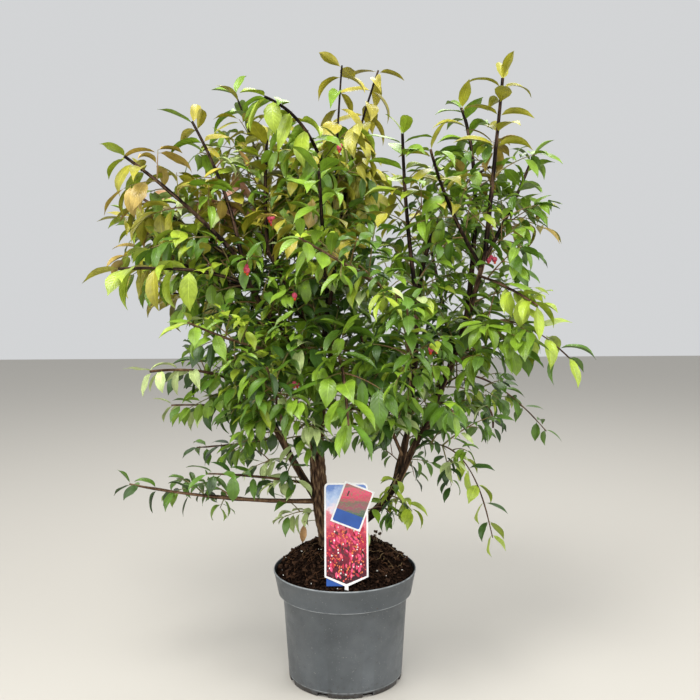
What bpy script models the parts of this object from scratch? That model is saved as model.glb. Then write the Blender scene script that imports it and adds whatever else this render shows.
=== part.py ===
# Winged spindle shrub in a plastic nursery pot.
# Metres, +Z up.  The origin is the middle of the pot's underside, and -Y is the front.

import math
import random

import bmesh
import bpy
from mathutils import Matrix, Vector
from mathutils.bvhtree import BVHTree

# Pot and soil
POT_HEIGHT = 0.225
POT_BASE_RADIUS = 0.115
POT_WAIST_RADIUS = 0.1255
BAND_HEIGHT = 0.048
BAND_FOOT_RADIUS = 0.135
RIM_RADIUS = 0.144
POT_WALL = 0.002
POT_FLOOR = 0.003
POT_SEGMENTS = 36
DRAIN_COUNT = 8
DRAIN_WIDTH = 0.022
DRAIN_HEIGHT = 0.008
SOIL_EDGE = 0.222
SOIL_TOP = 0.272
SOIL_SEAT_RADIUS = 0.056
CLEARANCE = 0.0003

# Labels
CARD_THICKNESS = 0.0009
CARD_WIDTH = 0.083
CARD_HEIGHT = 0.196
CARD_SHOULDER = 0.020
CARD_CORNER = 0.008
CARD_LEAN = math.radians(10.0)
CARD_FOOT = Vector((0.004, -0.1325, 0.229))
SMALL_CARD = (0.060, 0.080)
SMALL_CARD_MIDDLE = Vector((0.012, 0.152))
SMALL_CARD_TURN = math.radians(-21.0)
STRIP_LOW = (-0.038, 0.003)
STRIP_HIGH = (-0.006, 0.085)
SPIKE_WIDTH = 0.007
SPIKE_TOP = 0.003
SPIKE_DEPTH = 0.022

# Shrub
TRUNK_FOOT = Vector((-0.028, 0.0, SOIL_TOP + CLEARANCE))
TRUNK_TIP = Vector((-0.047, 0.0, 0.556))
TRUNK_BOW = Vector((-0.03, 0.0, -0.01))
TRUNK_RADII = ((0.0, 0.027), (0.05, 0.0215), (0.12, 0.018), (0.5, 0.0150), (1.0, 0.0112))
TRUNK_SIDES = 12
LIMB_SIDES = 7

LEAF_LENGTH = 0.082
LEAF_WIDTH = 0.038
LEAF_THICKNESS = 0.0015
LEAF_ROOT = 0.17
NODE_STEP = 0.102
FIRST_NODE = 0.016
LEAFY_NODES = 2
TWIG_NODES = 2
TWIG_LONGEST = 0.15
TWIG_SHORTEST = 0.045
TWIG_SHARE = 0.36
TWIG_LEAN = 0.58
TWIG_NODE_STEP = 0.087
TWIG_FIRST_NODE = 0.024
TWIG_BARE_FOOT = 0.035
TWIG_TIP_RADIUS = 0.0012
STEM_TIP_RADIUS = 0.0014
STEM_TAPER = 0.0085
TWIG_TAPER = 0.006
STEM_PIECE = 0.08
LIMB_PIECE = 0.05
SLIVER = 0.00002
GUARD = 0.0012
TWIG_ROOM = 0.012
LIMB_ROOM = 0.003
POT_ROOM = (0.165, 0.30)
LABEL_ROOM = ((-0.07, -0.165, 0.0), (0.07, -0.075, 0.445))

# Main limbs: name, parent, how far up the parent, tip, bow of the middle, foot and tip radius.
LIMBS = (
    ("limb_right_foot", "trunk", 0.12, (0.13, 0.00, 0.45), (0.02, 0.00, -0.08), 0.0095, 0.0076),
    ("limb_right_rise", "limb_right_foot", 1.0, (0.28, 0.00, 0.86), (0.03, 0.00, 0.00), 0.0072, 0.0044),
    ("limb_centre_right", "limb_right_foot", 0.85, (0.14, -0.06, 0.77), (0.02, 0.00, 0.00), 0.0060, 0.0046),
    ("limb_left_foot", "trunk", 0.30, (-0.15, -0.03, 0.55), (-0.01, 0.00, 0.00), 0.0085, 0.0056),
    ("limb_left_rise", "trunk", 1.0, (-0.15, 0.04, 0.86), (0.04, 0.00, 0.02), 0.0080, 0.0050),
    ("limb_left_high", "limb_left_rise", 0.35, (-0.21, -0.04, 0.86), (0.01, 0.02, -0.10), 0.0056, 0.0044),
    ("limb_centre_rise", "trunk", 0.93, (-0.01, 0.06, 0.88), (-0.01, 0.00, 0.00), 0.0074, 0.0048),
)

# Leafy shoots: name, parent, how far up the parent, tip, bow of the middle, autumn tint.
SHOOTS = (
    ("low_left", "trunk", 0.34, (-0.42, -0.05, 0.41), (-0.01, 0.00, -0.02), "deep"),
    ("left_low_front", "limb_left_foot", 0.25, (-0.24, -0.22, 0.47), (-0.02, 0.00, 0.01), "deep"),
    ("left_low_back", "limb_left_foot", 0.75, (-0.32, 0.15, 0.44), (0.05, -0.02, 0.00), "deep"),
    ("left_mid", "limb_left_foot", 1.0, (-0.34, -0.02, 0.56), (0.00, 0.00, 0.01), "deep"),
    ("left_front", "limb_left_foot", 0.85, (-0.34, -0.20, 0.65), (0.06, 0.03, 0.07), "fresh"),
    ("left_back", "limb_left_high", 0.2, (-0.40, 0.20, 0.78), (0.02, 0.00, 0.02), "olive"),
    ("left_front_high", "limb_left_rise", 0.3, (-0.26, -0.26, 0.74), (0.00, 0.03, -0.03), "fresh"),
    ("left_arm", "limb_left_high", 0.78, (-0.40, -0.16, 0.83), (0.06, 0.02, 0.03), "olive"),
    ("left_arm_back", "limb_left_high", 0.80, (-0.46, 0.20, 0.94), (-0.01, 0.00, -0.06), "olive"),
    ("left_tip", "limb_left_high", 1.0, (-0.41, -0.05, 1.04), (0.01, 0.00, 0.01), "bronze"),
    ("left_tip_back", "limb_left_high", 0.93, (-0.41, 0.10, 0.97), (0.01, 0.02, 0.00), "bronze"),
    ("left_spire", "limb_left_high", 0.88, (-0.30, 0.06, 1.12), (0.03, 0.02, 0.00), "olive"),
    ("top_left", "limb_left_rise", 1.0, (-0.15, 0.06, 1.09), (-0.01, 0.00, 0.00), "bronze"),
    ("top_left_back", "limb_left_rise", 0.93, (-0.23, 0.20, 1.20), (0.03, 0.02, 0.00), "olive"),
    ("top_arch", "limb_centre_rise", 0.86, (-0.14, -0.10, 1.14), (0.07, -0.02, 0.11), "bronze"),
    ("top_centre", "limb_centre_rise", 0.93, (-0.01, 0.08, 1.18), (0.00, 0.00, -0.01), "olive"),
    ("top_back", "limb_centre_rise", 1.0, (0.07, 0.19, 1.20), (-0.01, 0.00, 0.00), "olive"),
    ("centre_spire", "limb_centre_right", 1.0, (0.11, -0.12, 1.07), (-0.01, 0.00, 0.01), "olive"),
    ("centre_front", "limb_centre_right", 0.95, (-0.07, -0.28, 0.88), (-0.01, 0.00, 0.01), "fresh"),
    ("right_inner", "limb_centre_right", 0.9, (0.30, 0.08, 1.03), (-0.06, 0.02, 0.08), "olive"),
    ("right_front_spire", "limb_right_rise", 0.92, (0.16, -0.13, 1.04), (-0.02, 0.00, 0.00), "olive"),
    ("right_back_spire", "limb_right_rise", 0.66, (0.25, 0.16, 1.16), (0.05, 0.03, 0.08), "bronze"),
    ("right_spire", "limb_right_rise", 1.0, (0.31, 0.00, 1.19), (0.00, 0.00, 0.00), "bronze"),
    ("right_tip", "limb_right_rise", 0.95, (0.40, 0.14, 1.06), (0.00, 0.00, -0.02), "bronze"),
    ("right_front", "limb_right_rise", 0.88, (0.35, -0.16, 0.76), (0.00, 0.00, 0.01), "deep"),
    ("right_arm", "limb_right_rise", 0.35, (0.44, -0.04, 0.65), (-0.05, 0.00, 0.20), "deep"),
    ("right_arm_back", "limb_right_rise", 0.28, (0.44, 0.16, 0.47), (-0.07, -0.05, 0.17), "deep"),
    ("right_low_back", "limb_right_rise", 0.12, (0.33, 0.20, 0.47), (0.09, 0.08, 0.10), "deep"),
    ("right_weeping", "limb_right_rise", 0.05, (0.28, -0.12, 0.32), (0.04, 0.03, 0.12), "deep"),
    ("right_low_front", "limb_right_rise", 0.2, (0.19, -0.26, 0.58), (0.00, -0.02, 0.05), "fresh"),
    ("front_weeping", "limb_centre_rise", 0.12, (0.01, -0.30, 0.57), (0.01, 0.12, 0.20), "fresh"),
    ("back_low_left", "trunk", 0.75, (-0.20, 0.32, 0.60), (0.00, 0.03, 0.06), "deep"),
    ("back_low_right", "limb_right_foot", 0.75, (0.20, 0.32, 0.57), (0.00, 0.03, 0.06), "deep"),
    ("back_middle", "limb_centre_rise", 0.35, (0.02, 0.36, 0.80), (0.00, 0.03, 0.04), "fresh"),
    ("back_high_left", "limb_left_rise", 0.6, (-0.20, 0.33, 0.95), (0.00, 0.04, 0.00), "olive"),
    ("back_high_right", "limb_right_rise", 0.5, (0.19, 0.34, 0.94), (0.00, 0.05, 0.00), "olive"),
    ("back_top", "limb_centre_rise", 0.65, (-0.06, 0.28, 1.06), (0.00, 0.03, 0.00), "olive"),
    ("inner_front_left", "limb_left_foot", 0.6, (-0.13, -0.24, 0.66), (0.00, -0.02, 0.04), "fresh"),
    ("inner_front_right", "limb_centre_right", 0.35, (0.11, -0.26, 0.76), (0.00, -0.03, 0.02), "fresh"),
    ("inner_front_high", "limb_centre_rise", 0.6, (-0.04, -0.16, 1.00), (0.00, -0.04, 0.00), "olive"),
    ("inner_middle", "limb_centre_right", 0.12, (0.03, -0.12, 0.72), (-0.02, -0.02, 0.02), "fresh"),
    ("inner_low", "trunk", 0.88, (0.08, -0.18, 0.55), (0.00, -0.02, 0.06), "fresh"),
    ("inner_right", "limb_right_rise", 0.3, (0.22, 0.18, 0.70), (0.00, 0.02, 0.02), "fresh"),
    ("inner_back_left", "limb_left_rise", 0.2, (-0.22, 0.18, 0.74), (0.02, 0.02, 0.02), "fresh"),
)

# Leaf colours by tint, linear RGB.
TINTS = {
    "deep": (0.045, 0.115, 0.018),
    "fresh": (0.150, 0.310, 0.025),
    "olive": (0.170, 0.220, 0.022),
    "bronze": (0.240, 0.190, 0.028),
}


def clear_scene():
    for old in list(bpy.data.objects):
        bpy.data.objects.remove(old, do_unlink=True)


def material(name, colour, roughness, metallic=0.0):
    mat = bpy.data.materials.new(name)
    mat.use_nodes = True
    shader = mat.node_tree.nodes["Principled BSDF"]
    shader.inputs["Base Color"].default_value = (colour[0], colour[1], colour[2], 1.0)
    shader.inputs["Roughness"].default_value = roughness
    shader.inputs["Metallic"].default_value = metallic
    return mat


def add_object(name, verts, faces, mat=None):
    mesh = bpy.data.meshes.new(name)
    mesh.from_pydata([tuple(v) for v in verts], [], faces)
    mesh.validate()
    mesh.update()
    obj = bpy.data.objects.new(name, mesh)
    bpy.context.scene.collection.objects.link(obj)
    if mat is not None:
        mesh.materials.append(mat)
    return obj


def lathe(name, profile, segments, mat):
    """Turn a profile of (radius, height) about Z; it starts and ends on the axis."""
    verts = []
    rings = []
    for radius, height in profile:
        if radius == 0.0:
            rings.append([len(verts)])
            verts.append((0.0, 0.0, height))
            continue
        ring = []
        for i in range(segments):
            angle = 2.0 * math.pi * i / segments
            ring.append(len(verts))
            verts.append((radius * math.cos(angle), radius * math.sin(angle), height))
        rings.append(ring)
    faces = []
    for low, high in zip(rings, rings[1:]):
        for i in range(segments):
            j = (i + 1) % segments
            if len(low) == 1:
                faces.append((low[0], high[j], high[i]))
            elif len(high) == 1:
                faces.append((low[i], low[j], high[0]))
            else:
                faces.append((low[i], low[j], high[j], high[i]))
    return add_object(name, verts, faces, mat)


def apply_boolean(obj, operation, cutter=None, group=None, solver="EXACT"):
    mod = obj.modifiers.new("join", "BOOLEAN")
    mod.operation = operation
    mod.solver = solver
    if group is not None:
        mod.operand_type = "COLLECTION"
        mod.collection = group
    else:
        mod.object = cutter
    graph = bpy.context.evaluated_depsgraph_get()
    graph.update()
    mesh = bpy.data.meshes.new_from_object(obj.evaluated_get(graph))
    obj.modifiers.clear()
    old = obj.data
    obj.data = mesh
    bpy.data.meshes.remove(old)
    mesh.name = obj.name


# Curves

def bend(foot, tip, bow):
    """Control points of one arc whose middle is drawn aside by the bow."""
    foot = Vector(foot)
    tip = Vector(tip)
    return foot, (foot + tip) / 2.0 + Vector(bow), tip


def on_arc(arc, u):
    a, b, c = arc
    return a * (1.0 - u) ** 2 + b * (2.0 * u * (1.0 - u)) + c * u ** 2


def along_arc(arc, u):
    a, b, c = arc
    return ((b - a) * (1.0 - u) + (c - b) * u).normalized()


def arc_length(arc, steps=24):
    points = [on_arc(arc, i / steps) for i in range(steps + 1)]
    return sum((q - p).length for p, q in zip(points, points[1:]))


def radius_at(table, u):
    for (u0, r0), (u1, r1) in zip(table, table[1:]):
        if u <= u1:
            return r0 + (r1 - r0) * (u - u0) / (u1 - u0)
    return table[-1][1]


def frames(points):
    """Cross vectors carried along the points without twist."""
    tangents = []
    for i in range(len(points)):
        low = points[max(i - 1, 0)]
        high = points[min(i + 1, len(points) - 1)]
        tangents.append((high - low).normalized())
    side = tangents[0].orthogonal().normalized()
    result = []
    for tangent in tangents:
        side = (side - tangent * side.dot(tangent)).normalized()
        result.append((side, tangent.cross(side)))
    return result


def tube(points, radii, sides, flat_foot=False):
    """Closed tapering tube; a flat foot lies level, as a trunk cut at the ground."""
    verts = []
    for i, (point, radius) in enumerate(zip(points, radii)):
        side, other = frames(points)[i]
        if flat_foot and i == 0:
            side = Vector((1.0, 0.0, 0.0))
            other = Vector((0.0, 1.0, 0.0))
        for k in range(sides):
            angle = 2.0 * math.pi * k / sides
            verts.append(point + side * (radius * math.cos(angle)) + other * (radius * math.sin(angle)))
    faces = []
    for i in range(len(points) - 1):
        for k in range(sides):
            j = (k + 1) % sides
            low = i * sides
            high = low + sides
            faces.append((low + k, low + j, high + j, high + k))
    faces.append(tuple(reversed(range(sides))))
    faces.append(tuple(range((len(points) - 1) * sides, len(points) * sides)))
    return verts, faces


# Leaves

LEAF_FACES = (
    (0, 4, 2), (2, 4, 1), (1, 4, 3), (3, 4, 0),
    (0, 2, 5), (2, 1, 5), (1, 3, 5), (3, 0, 5),
)


def leaf_shape(root, along, up, scale, trim=0.0):
    """Folded, drooping blade: root, tip, two edges, top and bottom of the midrib."""
    length = LEAF_LENGTH * scale
    side = along.cross(up).normalized()
    middle = root + along * (0.46 * length)
    tip = root + along * (0.96 * length) - up * (0.20 * length)
    lift = up * (0.004 * scale)
    half = side * (LEAF_WIDTH * scale / 2.0)
    half_thickness = up * (LEAF_THICKNESS / 2.0)
    start = root + along * (trim * length)
    return [start, tip, middle - half + lift, middle + half + lift,
            middle + half_thickness, middle - half_thickness]


def leaf_samples(points):
    """Points spread over the blade, away from its root."""
    root, tip, left, right, top, bottom = points
    spread = []
    for edge in (left, right, top):
        spread.append(root.lerp(edge, 0.5))
        spread.append(edge)
        spread.append(edge.lerp(tip, 0.35))
        spread.append(edge.lerp(tip, 0.7))
    spread.append(tip)
    return spread


def hang_leaf(shoot_dir, side, end):
    """Directions of a blade: out from the shoot, arching over and hanging."""
    level = 1.0 - abs(shoot_dir.z)
    if end:
        along = shoot_dir * 0.9 + Vector((0.0, 0.0, -0.25 - 0.35 * level))
    else:
        along = side * (0.85 - 0.30 * level) + shoot_dir * 0.42 + Vector((0.0, 0.0, -0.22 - 0.60 * level))
    along.normalize()
    up = Vector((0.0, 0.0, 1.0)) + side * 0.35
    up = (up - along * up.dot(along)).normalized()
    return along, up


# Spaces of the shoots

class Lines:
    """Straight pieces of the limbs, to keep twigs and blades off them."""

    def __init__(self):
        self.pieces = []

    def add(self, points, radii):
        self.pieces.extend(zip(points, points[1:], radii, radii[1:]))

    def touches(self, point, room):
        """True where a point lies nearer than the room to a limb's surface."""
        for p, q, rp, rq in self.pieces:
            span = q - p
            t = max(0.0, min(1.0, (point - p).dot(span) / span.length_squared))
            if (point - p - span * t).length - (rp + (rq - rp) * t) < room:
                return True
        return False


def inside_fixed(point):
    """True near the pot, the soil and the labels."""
    if math.hypot(point.x, point.y) < POT_ROOM[0] and point.z < POT_ROOM[1]:
        return True
    low, high = LABEL_ROOM
    return all(low[i] < point[i] < high[i] for i in range(3))


def leaf_guard(points):
    """The skin of a blade grown by a little on all sides."""
    root, tip, left, right, top, bottom = points
    middle = (top + bottom) / 2.0
    up = (top - bottom).normalized()
    skin = []
    for lift in (GUARD, -GUARD):
        for corner in (root, left, tip, right):
            out = corner - middle
            skin.append(corner + out.normalized() * GUARD + up * lift)
        skin.append(middle + up * (lift + math.copysign(LEAF_THICKNESS / 2.0, lift)))
    faces = []
    for i in range(4):
        j = (i + 1) % 4
        faces.append((i, j, 4))
        faces.append((5 + j, 5 + i, 9))
        faces.append((i, 5 + i, 5 + j, j))
    return BVHTree.FromPolygons(skin, faces)


class Grown:
    """All wood and blades grown so far, so that each mass keeps a space of its own."""

    def __init__(self):
        self.items = []

    def add(self, owner, tree, centre, reach):
        self.items.append((owner, tree, centre, reach))

    def blocked(self, tree, centre, reach, skip=()):
        for owner, other, spot, span in self.items:
            if owner in skip:
                continue
            if (spot - centre).length < span + reach and tree.overlap(other):
                return True
        return False


def clear_of_limbs(points, limbs):
    return not any(inside_fixed(point) or limbs.touches(point, LIMB_ROOM) for point in points)


# Growth of one mass

def stem_tube(arc):
    """Points and radii of a shoot: the longer it is, the stouter its foot."""
    length = arc_length(arc)
    steps = max(4, round(length / STEM_PIECE))
    points = [on_arc(arc, i / steps) for i in range(steps + 1)]
    radii = [STEM_TIP_RADIUS + STEM_TAPER * length * (1.0 - i / steps) for i in range(steps + 1)]
    return points, radii


def limb_tube(arc, foot_radius, tip_radius):
    steps = max(4, round(arc_length(arc) / LIMB_PIECE))
    points = [on_arc(arc, i / steps) for i in range(steps + 1)]
    radii = [foot_radius + (tip_radius - foot_radius) * i / steps for i in range(steps + 1)]
    return points, radii


def stands_clear(verts, sides, obstacles):
    """True where the foot of a tube keeps its clearance to every obstacle."""
    foot = verts[:sides]
    spots = list(foot) + [sum(foot, Vector()) / sides]
    for k in range(sides):
        for share in (0.25, 0.5, 0.75):
            spots.append(foot[k].lerp(foot[(k + 1) % sides], share))
        for share in (0.03, 0.08, 0.16, 0.3, 0.5):
            spots.append(foot[k].lerp(verts[sides + k], share))
    for tree in obstacles:
        for corner in spots:
            spot, normal, index, gap = tree.find_nearest(corner)
            if (corner - spot).dot(normal) < 0.0 or gap < CLEARANCE:
                return False
    return True


def seat(parent_arc, at, tip, bow, make_tube, sides, carrier, others):
    """A stem's arc with its foot just clear of its carrier, beside it or at its tip.

    Where another stem already stands there, the foot moves a little round or along the carrier.
    """
    for shift in (0.0, 0.02, -0.02, 0.04, -0.04, 0.06, -0.06, 0.08, -0.08, -0.11):
        u = at if at == 1.0 else min(at + shift, 0.985)
        base = on_arc(parent_arc, u)
        axis = along_arc(parent_arc, u)
        start = bend(base, tip, bow)
        lead = (start[1] - start[0]).normalized()
        out = axis if at == 1.0 else (lead - axis * lead.dot(axis)).normalized()
        for turn in (0.0, 0.35, -0.35, 0.7, -0.7, 1.05, -1.05, 1.4, -1.4):
            side = Matrix.Rotation(turn, 3, axis) @ out
            away = 0.0
            while away < 0.04:
                arc = bend(base + side * away, tip, bow)
                points, radii = make_tube(arc)
                verts, faces = tube(points, radii, sides)
                if stands_clear(verts, sides, carrier):
                    break
                away += 0.0001
            skin = BVHTree.FromPolygons(verts, faces)
            wide = BVHTree.FromPolygons(*tube(points, [r + 0.0005 for r in radii], sides))
            if away < 0.04 and not any(skin.overlap(tree) for tree in carrier):
                if not any(wide.overlap(tree) for tree in others):
                    return arc
    raise ValueError("no room for a stem that ends at %s" % (tip,))


def guard_tube(points, radii, start):
    """The skin of a twig grown by a little, from some way past its foot."""
    first = points[0].lerp(points[1], start)
    verts, faces = tube([first] + list(points[1:]), [r + GUARD for r in radii], 3)
    middle = (first + points[-1]) / 2.0
    reach = max((point - middle).length for point in points) + 0.01
    return BVHTree.FromPolygons(verts, faces), middle, reach


def mass_places(arc, rnd):
    """Nodes of a stem, counted back from its tip."""
    length = arc_length(arc)
    places = []
    back = FIRST_NODE
    while back < length * 0.93:
        places.append(back)
        back += NODE_STEP * rnd.uniform(0.92, 1.08)
    return places


def grow_twigs(name, arc, rnd, grown, limbs):
    """Side twigs in pairs, each pair turned a quarter from the last."""
    length = arc_length(arc)
    places = mass_places(arc, rnd)
    turn = rnd.uniform(0.0, math.pi)
    twigs = []
    for count, back in enumerate(places):
        if not LEAFY_NODES <= count < LEAFY_NODES + TWIG_NODES:
            continue
        u = 1.0 - back / length
        foot = on_polyline(arc, u, 0, stem_tube(arc)[0])
        direction = along_arc(arc, u)
        side0 = direction.orthogonal().normalized()
        for flip in (0.0, math.pi):
            for attempt in range(6):
                angle = turn + count * math.pi / 2.0 + flip + rnd.uniform(-0.3, 0.3) + attempt * 0.6
                side = Matrix.Rotation(angle, 3, direction) @ side0
                twig_length = min(TWIG_LONGEST, TWIG_SHORTEST + TWIG_SHARE * back)
                twig_length *= rnd.uniform(0.85, 1.1) * 0.93 ** attempt
                lean = direction * TWIG_LEAN + side * math.sqrt(1.0 - TWIG_LEAN ** 2)
                tip = foot + lean * twig_length
                tip.z -= 0.08 * twig_length
                if side.z < -0.8:
                    continue
                twig = bend(foot, tip, (0.0, 0.0, 0.12 * twig_length))
                points = [on_arc(twig, i / 2) for i in range(3)]
                radii = [TWIG_TIP_RADIUS + TWIG_TAPER * twig_length * (1.0 - i / 2) for i in range(3)]
                probe = [on_arc(twig, i / 6) for i in range(1, 7)]
                if not clear_of_limbs(probe, limbs):
                    continue
                tree, middle, reach = guard_tube(points, [r + TWIG_ROOM for r in radii], 0.55)
                if grown.blocked(tree, middle, reach, skip=("stem_" + name,)):
                    continue
                tree, middle, reach = guard_tube(points, radii, 0.25)
                if grown.blocked(tree, middle, reach):
                    continue
                tree, middle, reach = guard_tube(points, radii, 0.0)
                if grown.blocked(tree, middle, reach, skip=("stem_" + name, name)):
                    continue
                grown.add(name, tree, middle, reach)
                twigs.append((twig, twig_length, points, radii))
                break
    return places, turn, twigs


def try_leaf(name, root, direction, side, end, scale, grown, limbs, own):
    """One blade, turned a little where its first place is taken, or none."""
    for attempt, turn in enumerate((0.0, 0.35, -0.35, 0.75, -0.75, 1.1)):
        turned = Matrix.Rotation(turn, 3, direction) @ side
        along, up = hang_leaf(direction, turned, end)
        size = scale * 0.97 ** attempt
        start = root + (Vector() if end else turned * 0.0003)
        shape = leaf_shape(start, along, up, size)
        if not clear_of_limbs(leaf_samples(shape), limbs):
            continue
        guard = leaf_guard(leaf_shape(start, along, up, size, LEAF_ROOT))
        if any(guard.overlap(tree) for tree in own):
            continue
        whole = leaf_guard(shape)
        middle = (shape[0] + shape[1]) / 2.0
        reach = LEAF_LENGTH * size * 0.55
        if grown.blocked(whole, middle, reach, skip=(name, "stem_" + name)):
            continue
        own.append(guard)
        grown.add(name, whole, middle, reach)
        return shape
    return None


def grow_leaves(name, arc, places, turn, twigs, rnd, grown, limbs):
    """Pairs of blades near the stem's tip and along its twigs, and one at each end."""
    points, radii = stem_tube(arc)
    own = []
    for wood_points, wood_radii in [(points, radii)] + [(twig[2], twig[3]) for twig in twigs]:
        verts, faces = tube(wood_points, wood_radii, 3)
        own.append(BVHTree.FromPolygons(verts, faces))
    leaves = []
    shoots = [(arc, arc_length(arc), 0)] + [(twig[0], twig[1], 1) for twig in twigs]
    for path, length, level in shoots:
        direction = along_arc(path, 1.0)
        end_root = on_arc(path, 1.0) - direction * 0.0012
        blade = try_leaf(name, end_root, direction, direction.orthogonal().normalized(), True,
                         rnd.uniform(0.92, 1.05), grown, limbs, own)
        if blade:
            leaves.append(blade)
        if level == 0:
            spots = [(back, count) for count, back in enumerate(places[:LEAFY_NODES])]
            phase = turn
        else:
            spots = []
            back = TWIG_FIRST_NODE
            while back < length - TWIG_BARE_FOOT:
                spots.append((back, len(spots)))
                back += TWIG_NODE_STEP
            phase = rnd.uniform(-0.3, 0.3)
        for back, count in spots:
            u = 1.0 - back / length
            direction = along_arc(path, u)
            flat = direction.cross(Vector((0.0, 0.0, 1.0)))
            if level == 0 or flat.length < 0.3:
                side0 = direction.orthogonal().normalized()
                angle = phase + count * math.pi / 2.0
            else:
                side0 = flat.normalized()
                angle = phase + count * 0.9
            for flip in (0.0, math.pi):
                side = Matrix.Rotation(angle + flip, 3, direction) @ side0
                blade = try_leaf(name, on_polyline(path, u, level, points), direction, side, False,
                                 rnd.uniform(0.88, 1.08), grown, limbs, own)
                if blade:
                    leaves.append(blade)
    return leaves


def on_polyline(path, u, level, stem_points):
    """The place on the straight pieces that the tube really follows."""
    steps = len(stem_points) - 1 if level == 0 else 2
    spot = min(u * steps, steps - 1e-6)
    low = int(spot)
    return on_arc(path, low / steps).lerp(on_arc(path, (low + 1) / steps), spot - low)


def build_mass(name, tubes, leaves, mat):
    """Fuse a mass's stem, twigs and leaves into one body."""
    verts, faces = tube(tubes[0][0], tubes[0][1], 3)
    body = add_object(name, verts, faces, mat)
    group = bpy.data.collections.new(name + "_pieces")
    bpy.context.scene.collection.children.link(group)
    pieces = []
    pieces += [tube(points, radii, 3) for points, radii in tubes[1:]]
    pieces += [(shape, LEAF_FACES) for shape in leaves]
    for number, (piece_verts, piece_faces) in enumerate(pieces):
        piece = add_object(name + "_piece_%d" % number, piece_verts, piece_faces)
        bpy.context.scene.collection.objects.unlink(piece)
        group.objects.link(piece)
    whole = body.data.copy()
    apply_boolean(body, "UNION", group=group)
    if not is_closed(body):
        body.data = whole
        apply_boolean(body, "UNION", group=group, solver="MANIFOLD")
    for piece in list(group.objects):
        mesh = piece.data
        bpy.data.objects.remove(piece, do_unlink=True)
        bpy.data.meshes.remove(mesh)
    bpy.data.collections.remove(group)
    keep_largest(body)
    merge_slivers(body)
    keep_largest(body)
    return body


def is_closed(obj):
    shape = bmesh.new()
    shape.from_mesh(obj.data)
    closed = all(len(edge.link_faces) == 2 for edge in shape.edges)
    shape.free()
    return closed


def merge_slivers(obj):
    """Close up edges far too short to see, where that leaves the skin whole."""
    whole = obj.data.copy()
    shape = bmesh.new()
    shape.from_mesh(obj.data)
    bmesh.ops.remove_doubles(shape, verts=shape.verts, dist=SLIVER)
    bmesh.ops.dissolve_degenerate(shape, edges=shape.edges, dist=SLIVER)
    bmesh.ops.triangulate(shape, faces=shape.faces)
    shape.to_mesh(obj.data)
    shape.free()
    if is_closed(obj):
        bpy.data.meshes.remove(whole)
    else:
        obj.data = whole


def keep_largest(obj):
    """Drop loose scraps and fill sealed hollows: only the outer skin of the body stays."""
    shape = bmesh.new()
    shape.from_mesh(obj.data)
    shape.faces.ensure_lookup_table()
    seen = set()
    skins = []
    for face in shape.faces:
        if face.index in seen:
            continue
        seen.add(face.index)
        stack = [face]
        skin = []
        while stack:
            current = stack.pop()
            skin.append(current)
            for edge in current.edges:
                for other in edge.link_faces:
                    if other.index not in seen:
                        seen.add(other.index)
                        stack.append(other)
        skins.append(skin)
    skins.sort(key=len)
    scraps = [face for skin in skins[:-1] for face in skin]
    if scraps:
        bmesh.ops.delete(shape, geom=scraps, context="FACES")
    shape.to_mesh(obj.data)
    shape.free()


# Model

def make_pot():
    mat = material("pot_plastic", (0.135, 0.145, 0.155), 0.45)
    band_foot = POT_HEIGHT - BAND_HEIGHT
    wall = POT_WALL
    profile = (
        (0.0, 0.0),
        (POT_BASE_RADIUS - 0.002, 0.0),
        (POT_BASE_RADIUS, 0.002),
        (POT_WAIST_RADIUS, band_foot - 0.001),
        (BAND_FOOT_RADIUS - 0.001, band_foot),
        (BAND_FOOT_RADIUS, band_foot + 0.002),
        (RIM_RADIUS - 0.001, POT_HEIGHT - 0.004),
        (RIM_RADIUS, POT_HEIGHT - 0.002),
        (RIM_RADIUS - 0.001, POT_HEIGHT),
        (RIM_RADIUS - wall, POT_HEIGHT),
        (BAND_FOOT_RADIUS - wall, band_foot + 0.0025),
        (POT_WAIST_RADIUS - wall, band_foot + 0.002),
        (POT_BASE_RADIUS - wall, POT_FLOOR),
        (0.0, POT_FLOOR),
    )
    pot = lathe("pot", profile, POT_SEGMENTS, mat)
    group = bpy.data.collections.new("drains")
    bpy.context.scene.collection.children.link(group)
    for i in range(DRAIN_COUNT):
        angle = 2.0 * math.pi * (i + 0.5) / DRAIN_COUNT
        half = DRAIN_WIDTH / 2.0
        verts = []
        for z in (-0.004, DRAIN_HEIGHT):
            for x, y in ((-0.010, -half), (0.012, -half), (0.012, half), (-0.010, half)):
                verts.append((POT_BASE_RADIUS + x, y, z))
        faces = [(3, 2, 1, 0), (4, 5, 6, 7), (0, 1, 5, 4), (1, 2, 6, 5), (2, 3, 7, 6), (3, 0, 4, 7)]
        turned = [Matrix.Rotation(angle, 3, "Z") @ Vector(v) for v in verts]
        cutter = add_object("drain_%d" % i, turned, faces)
        bpy.context.scene.collection.objects.unlink(cutter)
        group.objects.link(cutter)
    apply_boolean(pot, "DIFFERENCE", group=group)
    for cutter in list(group.objects):
        bpy.data.objects.remove(cutter, do_unlink=True)
    bpy.data.collections.remove(group)
    return pot


def card_point(across, height, forward):
    """A place on the leaning card, from its foot: across, up the card, and out to the front."""
    up = Vector((0.0, math.sin(CARD_LEAN), math.cos(CARD_LEAN)))
    front = Vector((0.0, -math.cos(CARD_LEAN), math.sin(CARD_LEAN)))
    return CARD_FOOT + Vector((across, 0.0, 0.0)) + up * height + front * forward


def plate(name, outline, back, front, mat):
    """A thin flat plate from an outline of (across, height) on the card's plane."""
    count = len(outline)
    verts = [card_point(x, y, back) for x, y in outline] + [card_point(x, y, front) for x, y in outline]
    faces = [tuple(reversed(range(count))), tuple(range(count, 2 * count))]
    for i in range(count):
        j = (i + 1) % count
        faces.append((i, j, count + j, count + i))
    return add_object(name, verts, faces, mat)


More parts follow.
